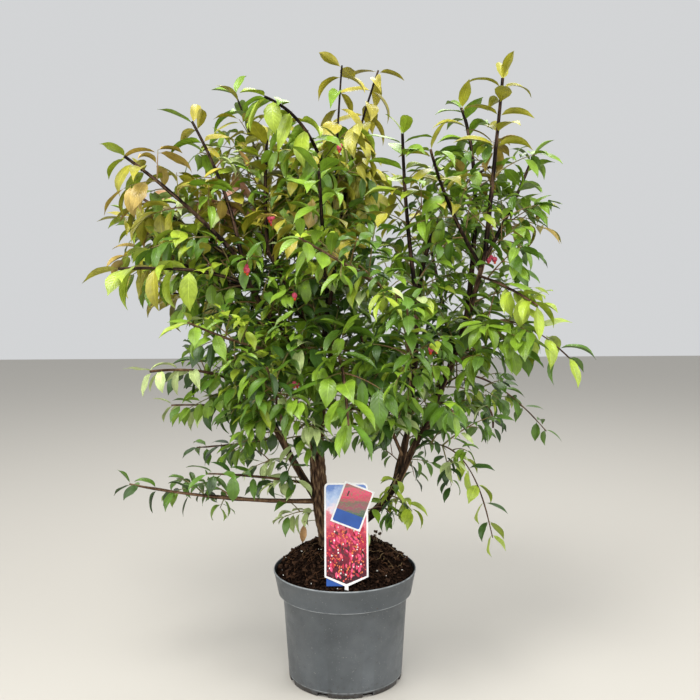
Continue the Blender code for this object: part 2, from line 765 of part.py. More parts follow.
def card_outline():
    """Upright card with rounded top corners, a blunt pointed foot and a narrow spike."""
    half = CARD_WIDTH / 2.0
    spike = SPIKE_WIDTH / 2.0
    right = [(spike, -SPIKE_DEPTH), (spike, SPIKE_TOP), (half, CARD_SHOULDER)]
    for step in range(4):
        angle = math.pi / 2.0 * step / 3.0
        across = half - CARD_CORNER * (1.0 - math.cos(angle))
        right.append((across, CARD_HEIGHT - CARD_CORNER * (1.0 - math.sin(angle))))
    return right + [(-across, height) for across, height in reversed(right)]


def make_soil():
    mat = material("soil_mix", (0.030, 0.020, 0.014), 0.95)
    band_foot = POT_HEIGHT - BAND_HEIGHT
    inset = POT_WALL + CLEARANCE
    flare = (RIM_RADIUS - BAND_FOOT_RADIUS) / (BAND_HEIGHT - 0.0025)
    edge_radius = RIM_RADIUS - inset - (POT_HEIGHT - SOIL_EDGE + 0.002) * flare
    profile = [
        (0.0, POT_FLOOR + CLEARANCE),
        (POT_BASE_RADIUS - inset, POT_FLOOR + CLEARANCE),
        (POT_WAIST_RADIUS - inset, band_foot + 0.002 + CLEARANCE),
        (BAND_FOOT_RADIUS - inset, band_foot + 0.0025 + CLEARANCE),
        (edge_radius, SOIL_EDGE - 0.002),
    ]
    for step in range(5):
        share = 1.0 - step / 4.0
        radius = SOIL_SEAT_RADIUS + (edge_radius - 0.004 - SOIL_SEAT_RADIUS) * share
        profile.append((radius, SOIL_EDGE + (SOIL_TOP - SOIL_EDGE) * (1.0 - share ** 1.7)))
    profile.append((0.0, SOIL_TOP))
    soil = lathe("soil", profile, POT_SEGMENTS, mat)
    half = SPIKE_WIDTH / 2.0 + CLEARANCE
    slot = [(-half, -SPIKE_DEPTH - CLEARANCE), (half, -SPIKE_DEPTH - CLEARANCE), (half, 0.03), (-half, 0.03)]
    cutter = plate("slot", slot, -CLEARANCE, CARD_THICKNESS + CLEARANCE, None)
    apply_boolean(soil, "DIFFERENCE", cutter=cutter)
    bpy.data.objects.remove(cutter, do_unlink=True)
    return soil


def make_labels():
    outline = card_outline()
    plate("card_large", outline, 0.0, CARD_THICKNESS, material("card_print", (0.42, 0.20, 0.30), 0.35))
    small = []
    for x, y in ((-1, -1), (1, -1), (1, 1), (-1, 1)):
        corner = Vector((SMALL_CARD[0] / 2.0 * x, SMALL_CARD[1] / 2.0 * y))
        spot = SMALL_CARD_MIDDLE + Matrix.Rotation(SMALL_CARD_TURN, 2) @ corner
        small.append((spot.x, spot.y))
    low = CARD_THICKNESS + CLEARANCE
    red = material("card_small_print", (0.45, 0.10, 0.14), 0.35)
    plate("card_small", small, low, low + CARD_THICKNESS, red)
    (left, foot), (right, head) = STRIP_LOW, STRIP_HIGH
    strip = [(left, foot), (right, foot), (right, head), (left, head)]
    blue = material("card_strip_print", (0.03, 0.16, 0.45), 0.35)
    plate("card_strip", strip, -CLEARANCE - CARD_THICKNESS, -CLEARANCE, blue)


def smooth(obj, angle=40.0):
    obj.data.shade_smooth()
    obj.data.set_sharp_from_angle(angle=math.radians(angle))


def tree_of(obj):
    return BVHTree.FromPolygons([v.co.copy() for v in obj.data.vertices],
                                [tuple(p.vertices) for p in obj.data.polygons])


def main():
    clear_scene()
    pot = make_pot()
    soil = make_soil()
    smooth(pot, 30.0)
    smooth(soil, 30.0)
    make_labels()

    bark = (0.085, 0.058, 0.038)
    arcs = {}
    trees = {}
    limbs = Lines()
    trunk_arc = bend(TRUNK_FOOT, TRUNK_TIP, TRUNK_BOW)
    arcs["trunk"] = trunk_arc
    shares = (0.0, 0.04, 0.10, 0.2, 0.35, 0.5, 0.65, 0.82, 1.0)
    points = [on_arc(trunk_arc, u) for u in shares]
    radii = [radius_at(TRUNK_RADII, u) for u in shares]
    verts, faces = tube(points, radii, TRUNK_SIDES, flat_foot=True)
    trunk = add_object("trunk", verts, faces, material("trunk_bark", bark, 0.9))
    smooth(trunk)
    limbs.add(points, radii)
    trees["trunk"] = tree_of(trunk)

    for name, parent, at, tip, bow, foot_radius, tip_radius in LIMBS:
        def shape_of(arc, foot=foot_radius, end=tip_radius):
            return limb_tube(arc, foot, end)
        others = [tree for key, tree in trees.items() if key != parent]
        arc = seat(arcs[parent], at, tip, bow, shape_of, LIMB_SIDES, [trees[parent]], others)
        points, radii = shape_of(arc)
        verts, faces = tube(points, radii, LIMB_SIDES)
        limb = add_object(name, verts, faces, material(name + "_bark", bark, 0.9))
        smooth(limb)
        arcs[name] = arc
        limbs.add(points, radii)
        trees[name] = tree_of(limb)

    grown = Grown()
    planned = []
    order = sorted(enumerate(SHOOTS), key=lambda item: -item[1][2])
    for number, (name, parent, at, tip, bow, tint) in order:
        others = [tree for key, tree in trees.items() if key != parent]
        arc = seat(arcs[parent], at, tip, bow, stem_tube, 3, [trees[parent]], others)
        points, radii = stem_tube(arc)
        verts, faces = tube(points, radii, 3)
        trees["leaves_" + name] = BVHTree.FromPolygons(verts, faces)
        for p, q, rp, rq in zip(points, points[1:], radii, radii[1:]):
            tree, middle, reach = guard_tube([p, q], [rp, rq], 0.0)
            grown.add("stem_" + name, tree, middle, reach)
        planned.append((name, arc, random.Random(100 + number), tint))

    woods = []
    for name, arc, rnd, tint in planned:
        places, turn, twigs = grow_twigs(name, arc, rnd, grown, limbs)
        woods.append((places, turn, twigs))
    for (name, arc, rnd, tint), (places, turn, twigs) in zip(planned, woods):
        leaves = grow_leaves(name, arc, places, turn, twigs, rnd, grown, limbs)
        tubes = [stem_tube(arc)] + [(twig[2], twig[3]) for twig in twigs]
        mat = material("leaves_" + name, TINTS[tint], 0.5)
        build_mass("leaves_" + name, tubes, leaves, mat)


main()
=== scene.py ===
# Winged spindle shrub in its nursery pot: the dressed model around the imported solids.
import math
import random

import bpy
import numpy as np
from mathutils import Matrix, Vector, noise


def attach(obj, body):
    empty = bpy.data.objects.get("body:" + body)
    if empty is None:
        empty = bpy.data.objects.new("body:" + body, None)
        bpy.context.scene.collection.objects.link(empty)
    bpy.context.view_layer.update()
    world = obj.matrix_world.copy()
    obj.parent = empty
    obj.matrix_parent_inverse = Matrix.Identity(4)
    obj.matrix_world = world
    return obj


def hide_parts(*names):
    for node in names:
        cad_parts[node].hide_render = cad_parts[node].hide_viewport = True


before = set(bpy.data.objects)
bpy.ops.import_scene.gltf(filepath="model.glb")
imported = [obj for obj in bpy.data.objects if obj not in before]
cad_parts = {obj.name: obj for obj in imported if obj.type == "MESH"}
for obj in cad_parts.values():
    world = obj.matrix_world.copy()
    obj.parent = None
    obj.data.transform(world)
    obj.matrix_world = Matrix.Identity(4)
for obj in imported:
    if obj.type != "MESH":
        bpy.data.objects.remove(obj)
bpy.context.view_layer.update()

# The photograph's camera
PHOTO_WIDTH = 700.0
FOCAL_PIXELS = 900.0
SENSOR = 36.0
CAMERA_PLACE = Vector((0.013, -1.775, 0.843))
CAMERA_PITCH = math.radians(5.7)
CAMERA_ROLL = math.radians(-0.33)

# Pot, soil and labels, as in the solids
POT_HEIGHT = 0.225
POT_BASE_RADIUS = 0.115
POT_WAIST_RADIUS = 0.1255
BAND_HEIGHT = 0.048
BAND_FOOT_RADIUS = 0.135
RIM_RADIUS = 0.144
POT_WALL = 0.002
POT_FLOOR = 0.003
DRAIN_COUNT = 8
DRAIN_WIDTH = 0.022
DRAIN_HEIGHT = 0.008
SOIL_EDGE = 0.222
SOIL_TOP = 0.272
SOIL_SEAT_RADIUS = 0.056
CARD_THICKNESS = 0.0009
CARD_WIDTH = 0.083
CARD_HEIGHT = 0.196
CARD_SHOULDER = 0.020
CARD_CORNER = 0.008
CARD_LEAN = math.radians(10.0)
CARD_FOOT = Vector((0.004, -0.1325, 0.229))
SMALL_CARD = (0.060, 0.080)
SMALL_CARD_MIDDLE = Vector((0.012, 0.152))
SMALL_CARD_TURN = math.radians(-21.0)
CLEARANCE = 0.0003

# Pot and soil as the scene draws them; each roughness of the mix has a scale, a seed and a height.
POT_SIDES = 144
FOOT_LINE = 0.0115
SOIL_RADIUS = 0.1385
SOIL_GAP = 0.001
SOIL_INSET = 0.004
SOIL_SHOULDER = 0.178
SOIL_RINGS = 62
SOIL_SIDES = 150
SOIL_SUNK = 0.0012
SOIL_ROUGHNESSES = ((60.0, 3.0, 0.0045), (170.0, 9.0, 0.0042))
LITTER_REACH = 0.133
STRAW_REACH = 0.12
STRAW_LIFT = 0.0016

# Sprouts on the mix: place and height
SPROUTS = ((0.067, 0.020, 0.022), (0.059, 0.024, 0.012), (0.072, 0.026, 0.019))
SPROUT_RADIUS = 0.0005

# Printed panels: the cards' white borders, how far the prints stand out, and the field of motifs
LARGE_BORDER = 0.0034
SMALL_BORDER = 0.0032
PRINT_LIFT = 0.00005
MOTIF_LIFT = 0.00012
MOTIF_STEP = 0.00002
MOTIF_SIDE = 0.0325
MOTIF_LOW = 0.020
MOTIF_HIGH = 0.126

# The trunk, as in the solids; its foot is sunk in the mix, and litter keeps off it.
TRUNK_FOOT = Vector((-0.028, 0.0, SOIL_TOP))
TRUNK_TIP = Vector((-0.047, 0.0, 0.556))
TRUNK_BOW = Vector((-0.03, 0.0, -0.01))
TRUNK_SUNK = Vector((0.0, 0.0, 0.006))
TRUNK_KEEP = 0.028
TRUNK_RADII = ((0.0, 0.027), (0.05, 0.0215), (0.12, 0.018), (0.5, 0.0150), (1.0, 0.0112))

# Tones of the bark colours, from the deepest furrow to tan
BARK_STOPS = (0.36, 0.47, 0.57, 0.68)
STEM_STOPS = (0.44, 0.56, 0.67, 0.78)

# Leaves, twigs and spurs; sizes of leaves are shares of a shoot's own or of a full-grown leaf's.
UP = Vector((0.0, 0.0, 1.0))
LEAF_LENGTH = 0.067
LEAF_WIDTH = 0.0342
LEAF_ROWS = 8
PETIOLE = 0.005
FIRST_NODE = 0.004
SHOOT_GROWN_SHARE = 0.93
TWIG_LONGEST = 0.155
TWIG_SHORTEST = 0.052
TWIG_SHARE = 0.36
TWIG_LEAN = 0.58
TWIG_NODE_STEP = 0.029
TWIG_FIRST_NODE = 0.012
TWIG_BARE_FOOT = 0.018
TWIG_STEP = 0.016
TWIG_TIP = 0.0008
STEM_TAPER = 0.0062
SPUR_STEP = 0.030
SPUR_FIRST = 0.02
SPUR_GROWN_SHARE = 0.8
SPUR_CHANCE = 0.75
SPUR_SHORTEST = 0.05
SPUR_LONGEST = 0.13
INNER_LEAF_SIZE = 0.66
GREEN_LEAF_SIZE = 0.72
TWIG_LEAF_SIZE = 0.88

# Main limbs, as in the solids: name, parent, how far up it, tip, bow of the middle, foot and tip radius.
LIMBS = (
    ("limb_right_foot", "trunk", 0.12, (0.13, 0.00, 0.45), (0.02, 0.00, -0.08), 0.0095, 0.0076),
    ("limb_right_rise", "limb_right_foot", 1.0, (0.28, 0.00, 0.86), (0.03, 0.00, 0.00), 0.0072, 0.0044),
    ("limb_centre_right", "limb_right_foot", 0.85, (0.14, -0.06, 0.77), (0.02, 0.00, 0.00), 0.0060, 0.0046),
    ("limb_left_foot", "trunk", 0.30, (-0.15, -0.03, 0.55), (-0.01, 0.00, 0.00), 0.0085, 0.0056),
    ("limb_left_rise", "trunk", 1.0, (-0.15, 0.04, 0.86), (0.04, 0.00, 0.02), 0.0080, 0.0050),
    ("limb_left_high", "limb_left_rise", 0.35, (-0.21, -0.04, 0.86), (0.01, 0.02, -0.10), 0.0056, 0.0044),
    ("limb_centre_rise", "trunk", 0.93, (-0.01, 0.06, 0.88), (-0.01, 0.00, 0.00), 0.0074, 0.0048),
)

# Leafy shoots: name, parent, how far up it, tip, bow of the middle, and tint. The two at the top centre
# are taller than in the solids.
SHOOTS = (
    ("low_left", "trunk", 0.34, (-0.42, -0.05, 0.41), (-0.01, 0.00, -0.02), "deep"),
    ("left_low_front", "limb_left_foot", 0.25, (-0.24, -0.22, 0.47), (-0.02, 0.00, 0.01), "deep"),
    ("left_low_back", "limb_left_foot", 0.75, (-0.32, 0.15, 0.44), (0.05, -0.02, 0.00), "deep"),
    ("left_mid", "limb_left_foot", 1.0, (-0.34, -0.02, 0.56), (0.00, 0.00, 0.01), "deep"),
    ("left_front", "limb_left_foot", 0.85, (-0.34, -0.20, 0.65), (0.06, 0.03, 0.07), "fresh"),
    ("left_back", "limb_left_high", 0.2, (-0.40, 0.20, 0.78), (0.02, 0.00, 0.02), "olive"),
    ("left_front_high", "limb_left_rise", 0.3, (-0.26, -0.26, 0.74), (0.00, 0.03, -0.03), "fresh"),
    ("left_arm", "limb_left_high", 0.78, (-0.40, -0.16, 0.83), (0.06, 0.02, 0.03), "olive"),
    ("left_arm_back", "limb_left_high", 0.80, (-0.46, 0.20, 0.94), (-0.01, 0.00, -0.06), "olive"),
    ("left_tip", "limb_left_high", 1.0, (-0.41, -0.05, 1.04), (0.01, 0.00, 0.01), "bronze"),
    ("left_tip_back", "limb_left_high", 0.93, (-0.41, 0.10, 0.97), (0.01, 0.02, 0.00), "bronze"),
    ("left_spire", "limb_left_high", 0.88, (-0.30, 0.06, 1.12), (0.03, 0.02, 0.00), "olive"),
    ("top_left", "limb_left_rise", 1.0, (-0.15, 0.06, 1.09), (-0.01, 0.00, 0.00), "bronze"),
    ("top_left_back", "limb_left_rise", 0.93, (-0.23, 0.20, 1.20), (0.03, 0.02, 0.00), "olive"),
    ("top_arch", "limb_centre_rise", 0.86, (-0.14, -0.10, 1.14), (0.07, -0.02, 0.11), "bronze"),
    ("top_centre", "limb_centre_rise", 0.93, (0.00, 0.08, 1.232), (-0.01, 0.00, -0.01), "olive"),
    ("top_back", "limb_centre_rise", 1.0, (0.076, 0.17, 1.240), (-0.02, 0.00, 0.00), "olive"),
    ("centre_spire", "limb_centre_right", 1.0, (0.11, -0.12, 1.07), (-0.01, 0.00, 0.01), "olive"),
    ("centre_front", "limb_centre_right", 0.95, (-0.07, -0.28, 0.88), (-0.01, 0.00, 0.01), "fresh"),
    ("right_inner", "limb_centre_right", 0.9, (0.30, 0.08, 1.03), (-0.06, 0.02, 0.08), "olive"),
    ("right_front_spire", "limb_right_rise", 0.92, (0.16, -0.13, 1.04), (-0.02, 0.00, 0.00), "olive"),
    ("right_back_spire", "limb_right_rise", 0.66, (0.25, 0.16, 1.16), (0.05, 0.03, 0.08), "bronze"),
    ("right_spire", "limb_right_rise", 1.0, (0.31, 0.00, 1.19), (0.00, 0.00, 0.00), "bronze"),
    ("right_tip", "limb_right_rise", 0.95, (0.40, 0.14, 1.06), (0.00, 0.00, -0.02), "bronze"),
    ("right_front", "limb_right_rise", 0.88, (0.35, -0.16, 0.76), (0.00, 0.00, 0.01), "deep"),
    ("right_arm", "limb_right_rise", 0.35, (0.44, -0.04, 0.65), (-0.05, 0.00, 0.20), "deep"),
    ("right_arm_back", "limb_right_rise", 0.28, (0.44, 0.16, 0.47), (-0.07, -0.05, 0.17), "deep"),
    ("right_low_back", "limb_right_rise", 0.12, (0.33, 0.20, 0.47), (0.09, 0.08, 0.10), "deep"),
    ("right_weeping", "limb_right_rise", 0.05, (0.28, -0.12, 0.32), (0.04, 0.03, 0.12), "deep"),
    ("right_low_front", "limb_right_rise", 0.2, (0.19, -0.26, 0.58), (0.00, -0.02, 0.05), "fresh"),
    ("front_weeping", "limb_centre_rise", 0.12, (0.01, -0.30, 0.57), (0.01, 0.12, 0.20), "fresh"),
    ("back_low_left", "trunk", 0.75, (-0.20, 0.32, 0.60), (0.00, 0.03, 0.06), "deep"),
    ("back_low_right", "limb_right_foot", 0.75, (0.20, 0.32, 0.57), (0.00, 0.03, 0.06), "deep"),
    ("back_middle", "limb_centre_rise", 0.35, (0.02, 0.36, 0.80), (0.00, 0.03, 0.04), "fresh"),
    ("back_high_left", "limb_left_rise", 0.6, (-0.20, 0.33, 0.95), (0.00, 0.04, 0.00), "olive"),
    ("back_high_right", "limb_right_rise", 0.5, (0.19, 0.34, 0.94), (0.00, 0.05, 0.00), "olive"),
    ("back_top", "limb_centre_rise", 0.65, (-0.06, 0.28, 1.06), (0.00, 0.03, 0.00), "olive"),
    ("inner_front_left", "limb_left_foot", 0.6, (-0.13, -0.24, 0.66), (0.00, -0.02, 0.04), "fresh"),
    ("inner_front_right", "limb_centre_right", 0.35, (0.11, -0.26, 0.76), (0.00, -0.03, 0.02), "fresh"),
    ("inner_front_high", "limb_centre_rise", 0.6, (-0.04, -0.16, 1.00), (0.00, -0.04, 0.00), "olive"),
    ("inner_middle", "limb_centre_right", 0.12, (0.03, -0.12, 0.72), (-0.02, -0.02, 0.02), "fresh"),
    ("inner_low", "trunk", 0.88, (0.08, -0.18, 0.55), (0.00, -0.02, 0.06), "fresh"),
    ("inner_right", "limb_right_rise", 0.3, (0.22, 0.18, 0.70), (0.00, 0.02, 0.02), "fresh"),
    ("inner_back_left", "limb_left_rise", 0.2, (-0.22, 0.18, 0.74), (0.02, 0.02, 0.02), "fresh"),
)

# Leaf colours, sRGB of the real leaves, each with its slot.
LEAF_COLOURS = {
    "forest": ((48, 76, 22), "foliage_deep"),
    "green": ((80, 114, 28), "foliage_deep"),
    "leaf": ((114, 146, 36), "foliage_fresh"),
    "lime": ((146, 166, 46), "foliage_fresh"),
    "pale": ((176, 192, 124), "foliage_fresh"),
    "olive": ((154, 150, 44), "foliage_olive"),
    "gold": ((160, 150, 50), "foliage_olive"),
    "bronze": ((164, 140, 66), "foliage_bronze"),
    "copper": ((168, 130, 84), "foliage_bronze"),
    "rose": ((186, 138, 120), "foliage_bronze"),
}

# How often each tint's sprays take the leaf colours.
TINT_SHARES = {
    "deep": {"forest": 9, "green": 9, "leaf": 5, "lime": 1, "pale": 1},
    "fresh": {"forest": 4, "green": 9, "leaf": 9, "lime": 4, "pale": 2},
    # Lighter greens for the right side of the crown: partly the leaves' own yellow-green, partly painted
    # light falling from the right.
    "lit_right": {"green": 6, "leaf": 12, "lime": 3},
    "mellow": {"green": 3, "leaf": 9, "lime": 7, "olive": 6, "gold": 1},
    "silver": {"pale": 6, "leaf": 3, "green": 2},
    "olive": {"leaf": 6, "lime": 5, "olive": 10, "gold": 3, "bronze": 1, "pale": 1},
    "bronze": {"leaf": 5, "lime": 4, "olive": 12, "gold": 3, "bronze": 3, "copper": 1, "rose": 1},
}

# Growth by tint: how far from the tip the stem bears leaves itself, the spacing of its nodes, the size of
# its leaves, the shortest share of a twig's full length, how many nodes bear twigs, and its tip radius.
HABITS = {
    "deep": (0.14, 0.030, 0.70, 0.35, 0.78, 0.0013),
    "fresh": (0.09, 0.025, 0.80, 0.52, 1.00, 0.0017),
    "lit_right": (0.12, 0.028, 0.90, 0.45, 0.92, 0.0015),
    "olive": (0.14, 0.027, 1.07, 0.55, 1.00, 0.0026),
    "bronze": (0.15, 0.027, 1.09, 0.55, 1.00, 0.0029),
}

# Shoots with larger or smaller leaves than their tint's
LEAF_SCALES = {
    "front_weeping": 1.50, "right_arm": 1.15, "left_arm": 1.05, "right_front": 1.05,
    "left_tip": 1.06, "left_tip_back": 1.06, "left_spire": 1.05, "top_left": 1.05, "left_back": 1.05,
    "right_inner": 0.86, "right_tip": 0.90, "right_back_spire": 0.92, "right_front_spire": 0.92,
    "centre_spire": 0.95, "inner_right": 0.90, "back_high_right": 0.90,
}

# Airy shoots: the share of their nodes that bear twigs
AIRY = {
    "right_spire": 0.72, "right_back_spire": 0.72, "right_tip": 0.62, "right_inner": 0.62,
    "right_front_spire": 0.72, "centre_spire": 0.85, "back_high_right": 0.62, "inner_right": 0.70,
    "right_low_back": 0.40, "right_arm_back": 0.45, "right_low_front": 0.34, "back_low_right": 0.40,
    "right_front": 0.62, "right_weeping": 0.55, "low_left": 0.48, "right_arm": 0.70,
    "inner_front_right": 0.80, "left_low_front": 0.55,
}

# Shoots whose twigs start nearer to the tip or further from it than their tint's
LEAFY_REACHES = {
    "left_tip": 0.05, "left_tip_back": 0.05, "left_spire": 0.05, "top_left": 0.08, "top_left_back": 0.10,
    "top_arch": 0.20, "left_arm_back": 0.06, "top_centre": 0.24, "top_back": 0.22,
}

# Thinner and thicker stems, leaves that hang more, and shoots of another tint than their mass
GIRTHS = {
    "right_weeping": 0.55, "right_arm_back": 0.70, "right_arm": 0.70, "low_left": 1.35, "top_centre": 0.70,
    "top_back": 0.75, "top_arch": 0.80, "top_left_back": 0.70,
}
HANGING = {"top_centre": 0.75, "top_back": 0.65, "top_arch": 0.60, "left_tip": 0.30, "left_tip_back": 0.30,
           "left_arm": 0.20}
# Two shoots on the right take the lighter right-side tint, partly painted light.
SHADES = {"right_front": "lit_right", "right_arm": "lit_right", "right_low_front": "deep"}

# Autumn tints end this far behind a shoot's tip, and below this height but for the far left. Green twigs
# are mellow above it, and lighter from here to the right: partly own yellow-green, partly painted light.
GREEN_BEHIND = 0.24
AUTUMN_ABOVE = 0.84
GREEN_RIGHT_OF = -0.22
BRIGHT_SIDE = 0.10

# Stems that stand clear in the photograph bear no twigs that point more to the front than this.
CLEAR_STEMS = ("left_tip", "left_spire", "top_left", "centre_spire", "right_front_spire", "right_spire",
               "right_back_spire", "right_inner", "limb_centre_right", "limb_right_rise", "limb_left_rise",
               "limb_left_high", "limb_centre_rise", "low_left", "left_arm")
CLEAR_FRONT = -0.60

# Low twigs: carrier, how far up it, direction, length and tint.
LOW_TWIGS = (
    ("trunk", 0.26, (-0.75, -0.60, 0.05), 0.115, "fresh"),
    ("limb_left_foot", 0.30, (-0.20, -0.90, 0.20), 0.110, "silver"),
    ("limb_left_foot", 0.50, (-0.80, -0.40, -0.10), 0.120, "fresh"),
    ("limb_right_foot", 0.42, (0.10, -0.90, 0.45), 0.080, "silver"),
    ("limb_right_foot", 0.50, (-0.30, -0.90, 0.35), 0.090, "silver"),
    ("limb_right_foot", 0.58, (0.75, -0.60, 0.10), 0.090, "fresh"),
    ("limb_right_foot", 0.70, (0.85, -0.45, -0.05), 0.120, "fresh"),
    ("limb_right_foot", 0.85, (0.20, -0.90, 0.00), 0.110, "fresh"),
)

# The one dry leaf: how far up the trunk, its stalk, the way it hangs and faces, and its size
DRY_LEAF_SHARE = 0.20
DRY_LEAF_STALK = (-0.038, -0.030, 0.006)
DRY_LEAF_WAY = (-0.10, 0.0, -0.995)
DRY_LEAF_FACE = (0.0, -1.0, 0.0)
DRY_LEAF_LENGTH = 0.042
DRY_LEAF_WIDTH = 0.022

# No leaf or twig comes into the pot and its mix up to this, or into this box round the labels.
POT_KEEP = 0.150
SOIL_KEEP = 0.018
CARD_KEEP = 0.055
CARD_KEEP_FRONT = -0.165
CARD_KEEP_BACK = -0.088
CARD_KEEP_TOP = 0.44

# Where the photograph shows fruit, in its pixels; each hangs from the nearest leaf node in front.
FRUIT_PIXELS = ((264.0, 222.0), (258.0, 268.0), (283.0, 280.0), (306.0, 385.0), (427.0, 339.0),
                (491.0, 257.0), (347.0, 149.0))
FRUIT_SEARCH = 16.0
FRUIT_STALK = (0.010, 0.018)
FRUIT_SIZE = (0.0085, 0.0115)
FRUIT_SHAPE = ((0.0, 0.3), (0.15, 0.75), (0.4, 1.0), (0.7, 0.92), (0.92, 0.6), (1.0, 0.2))


# Curves

def bend(foot, tip, bow):
    """Control points of one arc whose middle is drawn aside by the bow."""
    foot = Vector(foot)
    tip = Vector(tip)
    return foot, (foot + tip) / 2.0 + Vector(bow), tip


def on_arc(arc, u):
    a, b, c = arc
    return a * (1.0 - u) ** 2 + b * (2.0 * u * (1.0 - u)) + c * u ** 2


def along_arc(arc, u):
    a, b, c = arc
    return ((b - a) * (1.0 - u) + (c - b) * u).normalized()


def arc_length(arc):
    points = [on_arc(arc, i / 24) for i in range(25)]
    return sum((q - p).length for p, q in zip(points, points[1:]))


def radius_at(table, u):
    for (u0, r0), (u1, r1) in zip(table, table[1:]):
        if u <= u1:
            return r0 + (r1 - r0) * (u - u0) / (u1 - u0)
    return table[-1][1]


def frames(points):
    """Cross vectors carried along the points without twist."""
    tangents = []
    for i in range(len(points)):
        low = points[max(i - 1, 0)]
        high = points[min(i + 1, len(points) - 1)]
        tangents.append((high - low).normalized())
    side = tangents[0].orthogonal().normalized()
    result = []
    for tangent in tangents:
        side = (side - tangent * side.dot(tangent)).normalized()
        result.append((side, tangent.cross(side)))
    return result


# Meshes

class Pile:
    """Vertices, quads and their extra values, gathered for one joined piece."""

    def __init__(self):
        self.verts = []
        self.quads = []
        self.uvs = []
        self.values = []
        self.count = 0

    def add(self, verts, quads, uvs=None, values=None):
        self.verts.append(np.asarray(verts, dtype=np.float64).reshape(-1, 3))
        self.quads.append(np.asarray(quads, dtype=np.int64).reshape(-1, 4) + self.count)
        if uvs is not None:
            self.uvs.append(np.asarray(uvs, dtype=np.float64).reshape(-1, 2))
        if values is not None:
            self.values.append(np.asarray(values, dtype=np.float64).ravel())
        self.count += len(self.verts[-1])

    def piece(self, name, mat):
        quads = np.concatenate(self.quads)
        mesh = new_mesh(name, np.concatenate(self.verts).tolist(), quads.tolist(), mat)
        if self.uvs:
            uvs = np.concatenate(self.uvs)[quads.ravel()]
            mesh.uv_layers.new(name="UVMap").data.foreach_set("uv", uvs.ravel())
        if self.values:
            attribute = mesh.attributes.new("ridge", "FLOAT", "POINT")
            attribute.data.foreach_set("value", np.concatenate(self.values))
        mesh.shade_smooth()
        return link(name, mesh)


def new_mesh(name, verts, faces, mat):
    mesh = bpy.data.meshes.new(name)
    mesh.from_pydata(verts, [], faces)
    mesh.materials.append(mat)
    return mesh


def link(name, data):
    obj = bpy.data.objects.new(name, data)
    bpy.context.scene.collection.objects.link(obj)
    return obj


def grid_quads(rows, columns, closed=False):
    """Quads between rows of points, each row an open line or a closed ring."""
    spans = columns if closed else columns - 1
    quads = []
    for i in range(rows - 1):
        for k in range(spans):
            j = (k + 1) % columns
            quads.append((i * columns + k, i * columns + j, (i + 1) * columns + j, (i + 1) * columns + k))
    return quads


def mesh_piece(name, verts, faces, mat, smooth=True):
    mesh = new_mesh(name, [tuple(v) for v in verts], faces, mat)
    if smooth:
        mesh.shade_smooth()
    return link(name, mesh)


# Materials

def linear(colour):
    """Linear RGBA of an sRGB colour given as 0 to 255."""
    parts = [c / 255.0 for c in colour]
    return tuple(c / 12.92 if c <= 0.04045 else ((c + 0.055) / 1.055) ** 2.4 for c in parts) + (1.0,)


